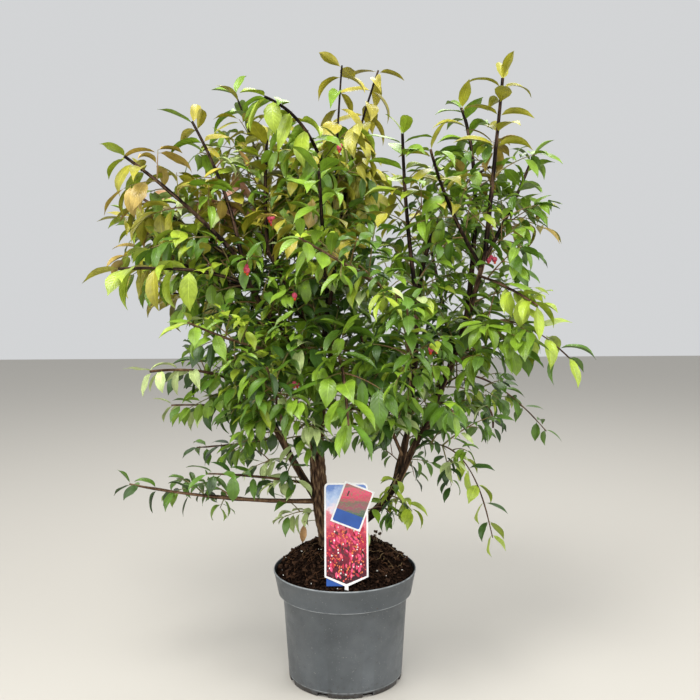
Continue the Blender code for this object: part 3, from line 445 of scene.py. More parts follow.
class Shader:
    """A Principled material and short calls for the nodes that feed it."""

    def __init__(self, name, colour, roughness, specular=0.5):
        self.mat = bpy.data.materials.new(name)
        self.mat.use_nodes = True
        self.nodes = self.mat.node_tree.nodes
        self.links = self.mat.node_tree.links
        self.out = self.nodes["Principled BSDF"]
        self.out.inputs["Base Color"].default_value = linear(colour)
        self.out.inputs["Roughness"].default_value = roughness
        self.out.inputs["Specular IOR Level"].default_value = specular

    def join(self, source, target):
        self.links.new(source, target)

    def feed(self, value, socket):
        """Join a node's output to the socket, or set a plain value on it."""
        if isinstance(value, bpy.types.NodeSocket):
            self.join(value, socket)
        else:
            socket.default_value = value

    def put(self, source, socket):
        self.links.new(source, self.out.inputs[socket])

    def coords(self, kind="Object", scale=(1.0, 1.0, 1.0)):
        place = self.nodes.new("ShaderNodeTexCoord")
        mapping = self.nodes.new("ShaderNodeMapping")
        mapping.inputs["Scale"].default_value = scale
        self.join(place.outputs[kind], mapping.inputs["Vector"])
        return mapping.outputs["Vector"]

    def noise(self, vector, scale, detail=4.0, rough=0.6):
        node = self.nodes.new("ShaderNodeTexNoise")
        node.inputs["Scale"].default_value = scale
        node.inputs["Detail"].default_value = detail
        node.inputs["Roughness"].default_value = rough
        self.join(vector, node.inputs["Vector"])
        return node.outputs["Fac"]

    def cells(self, vector, scale, output="Distance"):
        node = self.nodes.new("ShaderNodeTexVoronoi")
        node.inputs["Scale"].default_value = scale
        self.join(vector, node.inputs["Vector"])
        return node.outputs[output]

    def ramp(self, value, stops):
        """A colour ramp; each stop is a place and an sRGB colour or a grey level."""
        node = self.nodes.new("ShaderNodeValToRGB")
        elements = node.color_ramp.elements
        while len(elements) < len(stops):
            elements.new(1.0)
        for element, (place, colour) in zip(elements, stops):
            element.position = place
            if isinstance(colour, float):
                element.color = (colour, colour, colour, 1.0)
            else:
                element.color = linear(colour)
        self.join(value, node.inputs["Fac"])
        return node.outputs["Color"]

    def mix(self, share, first, second, blend="MIX"):
        node = self.nodes.new("ShaderNodeMix")
        node.data_type = "RGBA"
        node.blend_type = blend
        for key, value in (("Factor_Float", share), ("A_Color", first), ("B_Color", second)):
            socket = next(s for s in node.inputs if s.identifier == key)
            self.feed(linear(value) if isinstance(value, tuple) else value, socket)
        return next(s for s in node.outputs if s.identifier == "Result_Color")

    def maths(self, operation, first, second=0.0, clamp=False):
        node = self.nodes.new("ShaderNodeMath")
        node.operation = operation
        node.use_clamp = clamp
        for socket, value in zip(node.inputs, (first, second)):
            self.feed(value, socket)
        return node.outputs["Value"]

    def times(self, first, second):
        return self.maths("MULTIPLY", first, second)

    def plus(self, first, second, clamp=False):
        return self.maths("ADD", first, second, clamp)

    def minus(self, first, second, clamp=False):
        return self.maths("SUBTRACT", first, second, clamp)

    def patches(self, vector, scale, stops, detail=4.0, rough=0.6):
        """Noise through a colour ramp."""
        return self.ramp(self.noise(vector, scale, detail, rough), stops)

    def attribute(self, name):
        node = self.nodes.new("ShaderNodeAttribute")
        node.attribute_name = name
        return node.outputs["Fac"]

    def split(self, vector):
        node = self.nodes.new("ShaderNodeSeparateXYZ")
        self.join(vector, node.inputs["Vector"])
        return node.outputs

    def bump(self, height, strength, distance):
        node = self.nodes.new("ShaderNodeBump")
        node.inputs["Strength"].default_value = strength
        node.inputs["Distance"].default_value = distance
        self.join(height, node.inputs["Height"])
        self.put(node.outputs["Normal"], "Normal")


def leaf_material(name, colour):
    """A leaf blade with a paler midrib and side veins, and a soft sheen."""
    shader = Shader("leaf_" + name, colour, 0.38, 0.5)
    across, along = shader.split(shader.coords("UV"))[:2]
    off_middle = shader.maths("ABSOLUTE", shader.minus(across, 0.5))
    slant = shader.minus(along, shader.times(off_middle, 0.55))
    waves = shader.maths("ABSOLUTE", shader.maths("SINE", shader.times(slant, 25.0)))
    side_veins = shader.minus(1.0, shader.times(waves, 5.0), clamp=True)
    midrib = shader.minus(1.0, shader.times(off_middle, 28.0), clamp=True)
    veins = shader.maths("MAXIMUM", midrib, shader.times(side_veins, 0.45))
    place = shader.coords()
    dark = tuple(c * 0.80 for c in colour)
    light = tuple(min(255.0, c * 1.14 + 4.0) for c in colour)
    blade = shader.patches(place, 34.0, ((0.30, dark), (0.72, light)), 3.0)
    vein_colour = tuple(min(255.0, c * 1.22 + 14.0) for c in colour)
    share = shader.times(veins, 0.6)
    shader.put(shader.mix(share, blade, vein_colour), "Base Color")
    puff = shader.minus(waves, shader.times(midrib, 1.2))
    shader.bump(puff, 0.35, 0.0006)
    return shader.mat


def bark_material(name, dark, tan, tan_ridges, stops):
    """Fissured bark from dark to tan, with either its ridges or its furrows tan."""
    shader = Shader(name, dark, 0.9, 0.12)
    coarse = shader.noise(shader.coords("Object", (1.0, 1.0, 0.22)), 190.0, 6.0, 0.65)
    fine = shader.noise(shader.coords(), 520.0, 5.0, 0.7)
    ridge = shader.attribute("ridge")
    tone = ridge if tan_ridges else shader.minus(1.0, ridge)
    relief = shader.plus(shader.times(coarse, 0.35), shader.times(fine, 0.18))
    value = shader.plus(relief, shader.times(tone, 0.47))
    middle = tuple((a + b) / 2.0 for a, b in zip(dark, tan))
    deep = tuple(c * 0.42 for c in dark)
    shader.put(shader.ramp(value, tuple(zip(stops, (deep, dark, middle, tan)))), "Base Color")
    shader.bump(relief, 0.9, 0.003)
    return shader.mat


def green_twig_material():
    """Young twigs, green with a flush of pinkish brown and darker flecks."""
    shader = Shader("green_twig", (104, 116, 48), 0.5, 0.35)
    place = shader.coords()
    flush = ((0.32, (94, 104, 46)), (0.48, (126, 114, 62)), (0.66, (128, 90, 62)))
    colour = shader.patches(place, 16.0, flush, 3.0)
    speck = shader.patches(place, 500.0, ((0.35, 0.75), (0.65, 1.0)), 3.0)
    shader.put(shader.mix(1.0, colour, speck, "MULTIPLY"), "Base Color")
    shader.bump(shader.noise(place, 300.0, 4.0), 0.4, 0.0005)
    return shader.mat


def pot_material():
    """Grey moulded plastic with painted highlight streaks and painted shade on the band, lighter along its
    edges from wear and painted highlight, with dust and splashes near the foot, and darker below the foot
    line from crusted grime and painted shade.
    """
    shader = Shader("pot_plastic_look", (96, 101, 104), 0.42, 0.45)
    place = shader.coords()
    height = shader.split(place)[2]
    greys = ((0.30, (70, 75, 79)), (0.50, (86, 91, 95)), (0.72, (103, 108, 112)))
    base = shader.patches(place, 9.0, greys, 5.0)
    # Vertical streaks of painted highlight along the wall; the same streak noise also roughens the bump.
    streak_noise = shader.noise(shader.coords("Object", (1.0, 1.0, 0.22)), 240.0, 2.0, 0.5)
    painted_streak_highlights = shader.ramp(streak_noise, ((0.68, 0.0), (0.75, 1.0)))
    highlight_streak_field = shader.patches(place, 14.0, ((0.52, 0.0), (0.64, 1.0)), 2.0)
    painted_streak_highlights = shader.mix(1.0, painted_streak_highlights, highlight_streak_field, "MULTIPLY")
    scuffs_and_painted_light = shader.mix(shader.times(painted_streak_highlights, 0.30), base, (160, 164, 165))
    # Painted shade: the band up to the rim is darkened, as in the crown's shadow.
    band = POT_HEIGHT - BAND_HEIGHT
    painted_band_shade = shader.ramp(height, ((band - 0.001, 0.0), (band + 0.001, 1.0)))
    scuffs_and_painted_light = shader.mix(shader.times(painted_band_shade, 0.38), scuffs_and_painted_light, (62, 67, 71))
    specks = shader.patches(place, 320.0, ((0.69, 0.0), (0.72, 1.0)), 2.0, 0.5)
    scuffs_and_painted_light = shader.mix(shader.times(specks, 0.5), scuffs_and_painted_light, (156, 158, 156))
    # Lighter lines along the band's edge, the rim and the foot line: partly wear, partly painted highlight.
    for edge, reach in ((band + 0.0008, 0.0016), (POT_HEIGHT - 0.001, 0.0018), (FOOT_LINE, 0.0012)):
        off = shader.maths("ABSOLUTE", shader.minus(height, edge))
        line = shader.minus(1.0, shader.maths("DIVIDE", off, reach), clamp=True)
        worn = shader.patches(place, 60.0, ((0.36, 0.25), (0.58, 0.85)))
        scuffs_and_painted_light = shader.mix(shader.times(line, worn), scuffs_and_painted_light, (160, 165, 167))
    low = shader.minus(1.0, shader.times(height, 26.0), clamp=True)
    splash = shader.patches(place, 95.0, ((0.52, 0.0), (0.66, 0.8)), 5.0, 0.7)
    dirt_and_foot_shade = shader.times(low, splash)
    # Below the foot line the pot is darker in patches: crusted grime, and painted shade of the inset foot.
    foot = shader.ramp(height, ((FOOT_LINE - 0.002, 1.0), (FOOT_LINE - 0.0006, 0.0)))
    caked_grime_and_shade = shader.patches(place, 130.0, ((0.36, 0.45), (0.56, 1.0)), 4.0, 0.7)
    dirt_and_foot_shade = shader.plus(dirt_and_foot_shade, shader.times(foot, caked_grime_and_shade), clamp=True)
    soiled_and_shaded = shader.mix(shader.times(dirt_and_foot_shade, 0.88), scuffs_and_painted_light, (46, 38, 32))
    crumbs = shader.patches(place, 210.0, ((0.70, 0.0), (0.73, 1.0)), 2.0, 0.5)
    pot_colour = shader.mix(shader.times(crumbs, 0.55), soiled_and_shaded, (70, 58, 46))
    shader.put(pot_colour, "Base Color")
    rough = shader.patches(place, 40.0, ((0.3, 0.34), (0.7, 0.54)))
    shader.put(rough, "Roughness")
    grain = shader.plus(shader.noise(place, 900.0, 2.0), shader.times(streak_noise, 0.6))
    shader.bump(grain, 0.12, 0.0004)
    return shader.mat


def soil_material(name, dark, light, scale):
    """Crumbly peat and bark, in grains of several browns."""
    shader = Shader(name, dark, 0.95, 0.0)
    place = shader.coords()
    tone = shader.split(shader.cells(place, scale, output="Color"))[0]
    mottle = shader.noise(place, scale * 0.5, 6.0, 0.7)
    value = shader.plus(shader.times(tone, 0.6), shader.times(mottle, 0.5))
    deep = tuple(c * 0.5 for c in dark)
    shader.put(shader.ramp(value, ((0.25, deep), (0.5, dark), (0.85, light))), "Base Color")
    shader.bump(shader.noise(place, scale * 1.6, 6.0, 0.75), 0.9, 0.002)
    return shader.mat


def speckled_material(name, dark, light, roughness, scale, specular=0.3):
    """A matt natural surface that varies from dark to light in small flecks."""
    shader = Shader(name, dark, roughness, specular)
    place = shader.coords()
    shader.put(shader.patches(place, scale, ((0.32, dark), (0.68, light)), 5.0), "Base Color")
    shader.bump(shader.noise(place, scale * 2.0, 4.0), 0.5, 0.0006)
    return shader.mat


# Wood

def smooth_skin(angle, way, radius):
    """The relief of a plain round stalk."""
    return 0.0, 0.5


def lofted(points, radii, sides, relief=smooth_skin):
    """Rings of a limb. relief(angle, way, radius) gives how far a point stands out and its ridge value."""
    verts = []
    values = []
    uvs = []
    way = 0.0
    crosses = frames(points)
    for i, (point, radius) in enumerate(zip(points, radii)):
        if i:
            way += (point - points[i - 1]).length
        side, other = crosses[i]
        for k in range(sides):
            angle = 2.0 * math.pi * k / sides
            out, ridge = relief(angle, way, radius)
            reach = radius + out
            verts.append(point + side * (reach * math.cos(angle)) + other * (reach * math.sin(angle)))
            values.append(ridge)
            uvs.append((k / sides, way))
    return verts, grid_quads(len(points), sides, closed=True), uvs, values


def bark_relief(seed, depth, wings, grain=170.0):
    """Furrows of old bark, with broken corky wings where wings is above 0."""
    def relief(angle, way, radius):
        reach = radius * grain
        around = Vector((math.cos(angle) * reach, math.sin(angle) * reach, way * grain * 0.2 + seed))
        furrow = noise.noise(around) + 0.5 * noise.noise(around * 2.3)
        lump = noise.noise(Vector((math.cos(angle), math.sin(angle), way * 12.0 + seed * 3.0)))
        out = depth * (0.8 * furrow + 0.9 * lump)
        ridge = 0.5 + 0.5 * furrow
        if wings:
            phase = angle * 4.0 + 1.5 * noise.noise(Vector((seed, way * 6.0, 0.0)))
            crest = max(0.0, math.cos(phase)) ** 6
            quarter = round(phase / (2.0 * math.pi))
            broken = noise.noise(Vector((way * 26.0, quarter * 7.3, seed)))
            high = max(0.0, min(1.0, 0.55 + 1.6 * broken))
            out += wings * crest * high
            ridge = max(ridge * 0.6, crest * high)
        return out, ridge
    return relief


def capped_tube(points, radii, sides, relief=smooth_skin):
    """Rings of a limb with its tip closed by quads that share one point."""
    verts, quads, uvs, values = lofted(points, radii, sides, relief)
    tip = sum(verts[-sides:], Vector()) / sides
    verts.append(tip)
    uvs.append(uvs[-1])
    values.append(values[-1])
    last = len(verts) - 1
    first = last - sides
    for k in range(0, sides, 2):
        quads.append((first + k, first + k + 1, first + (k + 2) % sides, last))
    return verts, quads, uvs, values


def wood_piece(name, arc, radius_of, step, sides, relief, mat):
    """One limb as a bark mesh, from the middle of its carrier to its tip."""
    count = max(8, round(arc_length(arc) / step))
    shares = [i / count for i in range(count + 1)]
    pile = Pile()
    pile.add(*capped_tube([on_arc(arc, u) for u in shares], [radius_of(u) for u in shares], sides, relief))
    return pile.piece(name, mat)


def make_wood(bark):
    """The trunk and the main limbs; returns the arc of each."""
    trunk = bend(TRUNK_FOOT - TRUNK_SUNK, TRUNK_TIP, TRUNK_BOW)
    arcs = {"trunk": trunk}

    def trunk_radius(u):
        return radius_at(TRUNK_RADII, u)
    relief = bark_relief(1.0, 0.0025, 0.0, 330.0)
    dress(wood_piece("bark_trunk", trunk, trunk_radius, 0.0030, 72, relief, bark), ("trunk",))
    for number, (name, parent, at, tip, bow, foot, end) in enumerate(LIMBS):
        arc = bend(on_arc(arcs[parent], at), tip, bow)
        arcs[name] = arc

        def limb_radius(u, foot=foot, end=end):
            return foot + (end - foot) * u
        relief = bark_relief(10.0 + 7.0 * number, 0.0007, 0.0016)
        dress(wood_piece("bark_" + name, arc, limb_radius, 0.005, 28, relief, bark), (name,))
    return arcs


def dress(piece, nodes):
    """The piece moves with the plant and stands for these nodes."""
    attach(piece, "root")
    if nodes:
        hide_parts(*nodes)


# Leaves

def leaf_half_width(t):
    """Half the blade's width, as a share of its greatest, from root to drawn-out tip."""
    body = np.sin(np.pi * t ** 0.86) ** 0.82
    return body * (1.0 - 0.60 * np.clip((t - 0.66) / 0.34, 0.0, 1.0))


LEAF_T = np.linspace(0.0, 1.0, LEAF_ROWS + 1)
LEAF_EDGE = leaf_half_width(LEAF_T)
LEAF_EDGE[0] = 0.035
LEAF_EDGE[-1] = 0.012
LEAF_COLUMNS = np.array((-1.0, -0.52, 0.0, 0.52, 1.0))
LEAF_TEETH = np.where(np.arange(LEAF_ROWS + 1) % 2 == 0, 0.045, -0.02)
LEAF_TEETH[0] = 0.0
LEAF_TEETH[-1] = 0.0
LEAF_QUADS = np.array(grid_quads(LEAF_ROWS + 2, 5))


def leaf_arrays(root, along, up, length, width, droop, fold, ripple):
    """Points and UVs of one blade on a short stalk, folded along its midrib and arching over."""
    a = np.array(along)
    u = np.array(up)
    s = np.cross(a, u)
    angle = droop * LEAF_T ** 1.2
    steps = np.diff(LEAF_T, prepend=0.0)[:, None] * length
    runs = np.cos(angle)[:, None] * a - np.sin(angle)[:, None] * u
    line = np.array(root) + a * PETIOLE + np.cumsum(steps * runs, axis=0)
    lifts = np.cos(angle)[:, None] * u + np.sin(angle)[:, None] * a
    half = (LEAF_EDGE * width / 2.0)[:, None] * LEAF_COLUMNS[None, :]
    half[:, 0] *= 1.0 + LEAF_TEETH
    half[:, 4] *= 1.0 + LEAF_TEETH
    rise = np.abs(half) * math.sin(fold) - half ** 2 * (6.0 / width) * 0.12
    rise += ripple * np.sin(9.0 * LEAF_T + ripple * 9000.0)[:, None] * LEAF_COLUMNS[None, :] ** 2
    blade = line[:, None, :] + s * (half * math.cos(fold))[:, :, None] + lifts[:, None, :] * rise[:, :, None]
    stalk = np.array(root) + s * (LEAF_COLUMNS * 0.0006)[:, None]
    verts = np.concatenate((stalk[None, :, :], blade)).reshape(-1, 3)
    t = np.concatenate(((-0.05,), LEAF_T))
    uvs = np.stack(np.broadcast_arrays(0.5 + LEAF_COLUMNS[None, :] / 2.0, t[:, None]), axis=-1)
    return verts, uvs.reshape(-1, 2)


def hang_leaf(shoot_dir, side, end):
    """Directions of a blade's foot: out from the shoot and a little up, before it arches over and hangs."""
    level = 1.0 - abs(shoot_dir.z)
    if end:
        along = shoot_dir * 0.62 + side * 0.52 - UP * (0.20 * level)
    else:
        along = side * (0.90 - 0.25 * level) + shoot_dir * 0.45 + UP * (0.06 - 0.38 * level)
    along.normalize()
    up = UP + side * 0.15
    up = (up - along * up.dot(along)).normalized()
    return along, up


def near_fixed(point):
    """True in the pot, the soil and the labels, where nothing grows."""
    if math.hypot(point.x, point.y) < POT_KEEP and point.z < SOIL_TOP + SOIL_KEEP:
        return True
    return abs(point.x) < CARD_KEEP and CARD_KEEP_FRONT < point.y < CARD_KEEP_BACK and point.z < CARD_KEEP_TOP


class Crown:
    """Leaves by colour, twigs, stems, the nodes where fruit can hang, and how far leaves hang now."""

    def __init__(self):
        self.leaves = {name: Pile() for name in LEAF_COLOURS}
        self.green = Pile()
        self.brown = Pile()
        self.dark = Pile()
        self.nodes = []
        self.hang = 0.0

    def leaf(self, root, direction, side, end, scale, colour, rnd):
        along, up = hang_leaf(direction, side, end)
        along = along + Vector([rnd.uniform(-0.20, 0.20) for _ in range(3)])
        along = (along - UP * self.hang).normalized()
        up = Matrix.Rotation(rnd.uniform(-0.45, 0.45), 3, along) @ up
        up = (up - along * up.dot(along)).normalized()
        length = LEAF_LENGTH * scale * rnd.uniform(0.85, 1.15)
        width = LEAF_WIDTH * scale * rnd.uniform(0.88, 1.12)
        droop = rnd.uniform(0.15, 0.80) if end else rnd.uniform(0.35, 1.50)
        fold = rnd.uniform(0.35, 1.00)
        if near_fixed(root + along * length * 0.5) or near_fixed(root + along * length):
            return
        verts, uvs = leaf_arrays(root, along, up, length, width, droop, fold, rnd.uniform(0.0003, 0.0011))
        self.leaves[colour].add(verts, LEAF_QUADS, uvs)

    def pair(self, spot, direction, side, scale, colours, rnd, end=False):
        for sign in (1.0, -1.0):
            self.leaf(spot, direction, side * sign, end, scale, rnd.choice(colours), rnd)
        self.nodes.append(spot)


def pick(tint, rnd):
    shares = TINT_SHARES[tint]
    return rnd.choices(list(shares), list(shares.values()))[0]


def spray_colours(tint, rnd):
    """A spray is mostly one colour, with an odd leaf of another."""
    main = pick(tint, rnd)
    return (main, main, main, pick(tint, rnd))


def add_stem(pile, arc, length, number, tip_radius, girth):
    """A shoot's own stem, winged right up to its blunt tip."""
    relief = bark_relief(100.0 + number, 0.0002, 0.0012 * girth)
    steps = max(8, round(length / 0.0075))
    shares = [i / steps for i in range(steps + 1)]
    points = [on_arc(arc, u) for u in shares]
    radii = [girth * (tip_radius + STEM_TAPER * (1.0 - u) * length) for u in shares]
    pile.add(*capped_tube(points, radii, 12, relief))


def add_twig(crown, arc, length, foot_radius):
    """A thin square twig that tapers to its tip."""
    steps = max(3, round(length / TWIG_STEP))
    points = [on_arc(arc, i / steps) for i in range(steps + 1)]
    radii = [TWIG_TIP + (foot_radius - TWIG_TIP) * (1.0 - i / steps) for i in range(steps + 1)]
    crown.green.add(*capped_tube(points, radii, 4))


def flat_side(direction):
    """A level direction across a twig, or any cross direction on an upright one."""
    flat = direction.cross(UP)
    if flat.length < 0.3:
        return direction.orthogonal().normalized()
    return flat.normalized()


def leafy_twig(crown, foot, direction, side, length, size, tint, rnd, depth=0):
    """A side twig with its pairs of leaves, and spurs on a long one."""
    lean = direction * TWIG_LEAN + side * math.sqrt(1.0 - TWIG_LEAN ** 2)
    tip = foot + lean * length
    tip.z -= 0.08 * length
    if near_fixed(tip):
        return
    arc = bend(foot, tip, (0.0, 0.0, 0.12 * length))
    add_twig(crown, arc, length, 0.0010 + 0.008 * length)
    colours = spray_colours(tint, rnd)
    end = along_arc(arc, 1.0)
    crown.leaf(on_arc(arc, 1.0), end, flat_side(end), True, size * rnd.uniform(0.75, 0.95), colours[0], rnd)
    back = TWIG_FIRST_NODE
    count = 0
    phase = rnd.uniform(-0.4, 0.4)
    while back < length - TWIG_BARE_FOOT:
        u = 1.0 - back / length
        spot = on_arc(arc, u)
        way = along_arc(arc, u)
        across = Matrix.Rotation(phase + count * 0.9, 3, way) @ flat_side(way)
        if depth == 0 and count >= 2 and rnd.random() < 0.4:
            sign = rnd.choice((1.0, -1.0))
            leafy_twig(crown, spot, way, across * sign, rnd.uniform(0.03, 0.055), size, tint, rnd, 1)
            crown.leaf(spot, way, across * -sign, False, size, colours[1], rnd)
        else:
            crown.pair(spot, way, across, size * rnd.uniform(0.78, 1.0), colours, rnd)
        back += TWIG_NODE_STEP * size * rnd.uniform(0.85, 1.15)
        count += 1


def twig_tint(tint, back, spot, rnd):
    """Autumn colour stays near the tips: behind and below them the twigs are green, lighter to the right,
    partly painted light.
    """
    if tint not in ("olive", "bronze"):
        return tint
    low = spot.z < AUTUMN_ABOVE and spot.x > GREEN_RIGHT_OF
    right = spot.x > BRIGHT_SIDE
    if back < GREEN_BEHIND * rnd.uniform(0.7, 1.3) * (0.7 if right else 1.0) and not low:
        return tint
    if right:
        return "lit_right"
    return "mellow" if spot.z > AUTUMN_ABOVE else "fresh"


def grow_shoot(crown, arc, tint, number, name):
    """Pairs of leaves near the stem's tip, then pairs of twigs, each turned a quarter from the last."""
    leafy_reach, node_step, size, shortest, twiggy, tip_radius = HABITS[tint]
    leafy_reach = LEAFY_REACHES.get(name, leafy_reach)
    size *= LEAF_SCALES.get(name, 1.0)
    twiggy = AIRY.get(name, twiggy)
    crown.hang = HANGING.get(name, 0.0)
    clear = name in CLEAR_STEMS
    rnd = random.Random(100 + number)
    length = arc_length(arc)
    pile = crown.dark if tint in ("olive", "bronze") else crown.brown
    add_stem(pile, arc, length, number, tip_radius, GIRTHS.get(name, 1.0))
    colours = spray_colours(tint, rnd)
    turn = rnd.uniform(0.0, math.pi)
    back = FIRST_NODE
    count = 0
    while back < length * SHOOT_GROWN_SHARE:
        u = 1.0 - back / length
        spot = on_arc(arc, u)
        way = along_arc(arc, u)
        side = Matrix.Rotation(turn + count * math.pi / 2.0, 3, way) @ way.orthogonal().normalized()
        bare = back > leafy_reach and rnd.random() > twiggy
        if back < leafy_reach:
            grown = 0.86 + 0.19 * min(1.0, back / 0.08)
            crown.pair(spot, way, side, size * grown, colours, rnd, count == 0)
        elif not bare:
            for sign in (1.0, -1.0):
                out = Matrix.Rotation(rnd.uniform(-0.3, 0.3), 3, way) @ (side * sign)
                if out.z < -0.75 or (clear and out.y < CLEAR_FRONT):
                    continue
                reach = min(TWIG_LONGEST, TWIG_SHORTEST + TWIG_SHARE * back) * rnd.uniform(shortest, 1.0)
                here = twig_tint(tint, back, spot, rnd)
                scale = size * (TWIG_LEAF_SIZE if here == tint else GREEN_LEAF_SIZE)
                leafy_twig(crown, spot, way, out, reach, scale, here, rnd)
        back += node_step * rnd.uniform(0.85, 1.15) * (0.6 if count == 0 else 1.0)
        count += 1


def grow_spurs(crown, arc, number, clear):
    """Short leafy spurs in pairs along a limb."""
    rnd = random.Random(500 + number)
    length = arc_length(arc)
    back = SPUR_FIRST
    count = 0
    while back < length * SPUR_GROWN_SHARE:
        u = 1.0 - back / length
        way = along_arc(arc, u)
        for sign in (1.0, -1.0):
            turn = Matrix.Rotation(count * 1.7 + rnd.uniform(-0.4, 0.4), 3, way)
            out = turn @ way.orthogonal().normalized() * sign
            if rnd.random() < SPUR_CHANCE and not (clear and out.y < CLEAR_FRONT):
                spot = on_arc(arc, u)
                tint = "mellow" if spot.z > AUTUMN_ABOVE else "fresh"
                reach = rnd.uniform(SPUR_SHORTEST, SPUR_LONGEST)
                leafy_twig(crown, spot, way, out, reach, INNER_LEAF_SIZE, tint, rnd)
        back += SPUR_STEP * rnd.uniform(0.9, 1.1)
        count += 1


def camera_matrix():
    turn = Matrix.Rotation(math.pi / 2.0 - CAMERA_PITCH, 4, "X") @ Matrix.Rotation(CAMERA_ROLL, 4, "Z")
    return Matrix.Translation(CAMERA_PLACE) @ turn


def photo_pixel(point, seen_from):
    """Where a point shows in the photograph, in its pixels, and how far off it is."""
    local = seen_from @ point
    middle = PHOTO_WIDTH / 2.0
    return middle - FOCAL_PIXELS * local.x / local.z, middle + FOCAL_PIXELS * local.y / local.z, -local.z


def node_at(crown, pixel, seen_from):
    """The leaf node nearest to the camera among those close to a pixel."""
    def cost(spot):
        x, y, far = photo_pixel(spot, seen_from)
        return far + max(0.0, math.hypot(x - pixel[0], y - pixel[1]) - FRUIT_SEARCH)
    return min(crown.nodes, key=cost)


def lobed_skin(angle, way, radius):
    """The relief of a capsule with four lobes."""
    return radius * 0.28 * math.cos(4.0 * angle), 0.5


def make_fruit(crown):
    """Small lobed pink capsules with an orange seed below, hung on thin stalks from leaf nodes."""
    rnd = random.Random(77)
    seen_from = camera_matrix().inverted()
    capsules = Pile()
    seeds = Pile()
    for pixel in FRUIT_PIXELS:
        spot = node_at(crown, pixel, seen_from)
        for _ in range(rnd.choice((2, 3))):
            out = Vector((rnd.uniform(-0.5, 0.5), rnd.uniform(-0.9, -0.3), rnd.uniform(-1.0, -0.5)))
            out.normalize()
            foot = spot + out * rnd.uniform(*FRUIT_STALK)
            add_twig(crown, bend(spot, foot, (0.0, 0.0, 0.002)), 0.015, 0.0009)
            down = (out * 0.4 - UP).normalized()
            size = rnd.uniform(*FRUIT_SIZE)
            points = [foot + down * size * t for t, _ in FRUIT_SHAPE]
            radii = [size * 0.48 * r for _, r in FRUIT_SHAPE]
            capsules.add(*capped_tube(points, radii, 12, lobed_skin)[:2])
            below = foot + down * size * 1.15
            points = [below + down * size * 0.5 * (t - 0.6) for t, _ in FRUIT_SHAPE]
            radii = [size * 0.24 * r for _, r in FRUIT_SHAPE]
            seeds.add(*capped_tube(points, radii, 8)[:2])
    pink = speckled_material("fruit_pink", (176, 46, 76), (222, 96, 118), 0.5, 240.0)
    orange = speckled_material("fruit_seed", (196, 58, 24), (232, 96, 44), 0.35, 200.0)
    dress(capsules.piece("fruit_capsules", pink), ())
    dress(seeds.piece("fruit_seeds", orange), ())


def hang_dry_leaf(crown, trunk):
    """The one withered leaf low on the trunk, on a bare stalk."""
    foot = on_arc(trunk, DRY_LEAF_SHARE)
    tip = foot + Vector(DRY_LEAF_STALK)
    add_twig(crown, bend(foot, tip, (0.0, 0.0, 0.003)), 0.05, 0.0010)
    size = (DRY_LEAF_LENGTH, DRY_LEAF_WIDTH)
    verts, uvs = leaf_arrays(tip, DRY_LEAF_WAY, DRY_LEAF_FACE, *size, 0.35, 0.9, 0.0008)
    crown.leaves["copper"].add(verts, LEAF_QUADS, uvs)


def make_crown(arcs):
    """All that grows on the trunk and limbs, joined into one piece for each look."""
    crown = Crown()
    for number, limb in enumerate(LIMBS):
        if limb[0] not in ("limb_right_foot", "limb_left_foot"):
            grow_spurs(crown, arcs[limb[0]], number, limb[0] in CLEAR_STEMS)
    for number, (name, parent, at, tip, bow, tint) in enumerate(SHOOTS):
        arc = bend(on_arc(arcs[parent], at), tip, bow)
        grow_shoot(crown, arc, SHADES.get(name, tint), number, name)
    crown.hang = 0.0
    rnd = random.Random(900)
    for carrier, at, direction, length, tint in LOW_TWIGS:
        way = Vector(direction).normalized()
        foot = on_arc(arcs[carrier], at)
        leafy_twig(crown, foot, way, flat_side(way) * 0.4, length, INNER_LEAF_SIZE, tint, rnd)
    hang_dry_leaf(crown, arcs["trunk"])
    masses = tuple("leaves_" + shoot[0] for shoot in SHOOTS)
    for name, (colour, slot_name) in LEAF_COLOURS.items():
        piece = crown.leaves[name].piece("foliage_" + name, leaf_material(name, colour))
        dress(piece, masses)
    make_fruit(crown)
    dress(crown.green.piece("twigs_green", green_twig_material()), masses)
    old_bark = bark_material("old_stem_look", (80, 59, 44), (158, 128, 98), False, STEM_STOPS)
    dress(crown.brown.piece("stems_brown", old_bark), masses)
    young_bark = bark_material("young_stem_look", (28, 20, 17), (136, 106, 80), False, STEM_STOPS)
    dress(crown.dark.piece("stems_dark", young_bark), masses)


# Pot and soil

BOX = ((-1, -1, -1), (1, -1, -1), (1, 1, -1), (-1, 1, -1), (-1, -1, 1), (1, -1, 1), (1, 1, 1), (-1, 1, 1))
BOX_QUADS = ((3, 2, 1, 0), (4, 5, 6, 7), (0, 1, 5, 4), (1, 2, 6, 5), (2, 3, 7, 6), (3, 0, 4, 7))


def circle(radius, height, sides):
    """Points of a level ring about Z, or the one point on the axis."""
    if radius == 0.0:
        return [(0.0, 0.0, height)]
    angles = [2.0 * math.pi * k / sides for k in range(sides)]
    return [(radius * math.cos(angle), radius * math.sin(angle), height) for angle in angles]


def stacked(rings, sides):
    """The surface through a stack of rings; a ring of one point closes an end."""
    verts = []
    numbers = []
    for ring in rings:
        numbers.append(range(len(verts), len(verts) + len(ring)))
        verts += ring
    faces = []
    for low, high in zip(numbers, numbers[1:]):
        for k in range(sides):
            j = (k + 1) % sides
            if len(low) == 1:
                faces.append((low[0], high[j], high[k]))
            elif len(high) == 1:
                faces.append((low[k], low[j], high[0]))
            else:
                faces.append((low[k], low[j], high[j], high[k]))
    return verts, faces


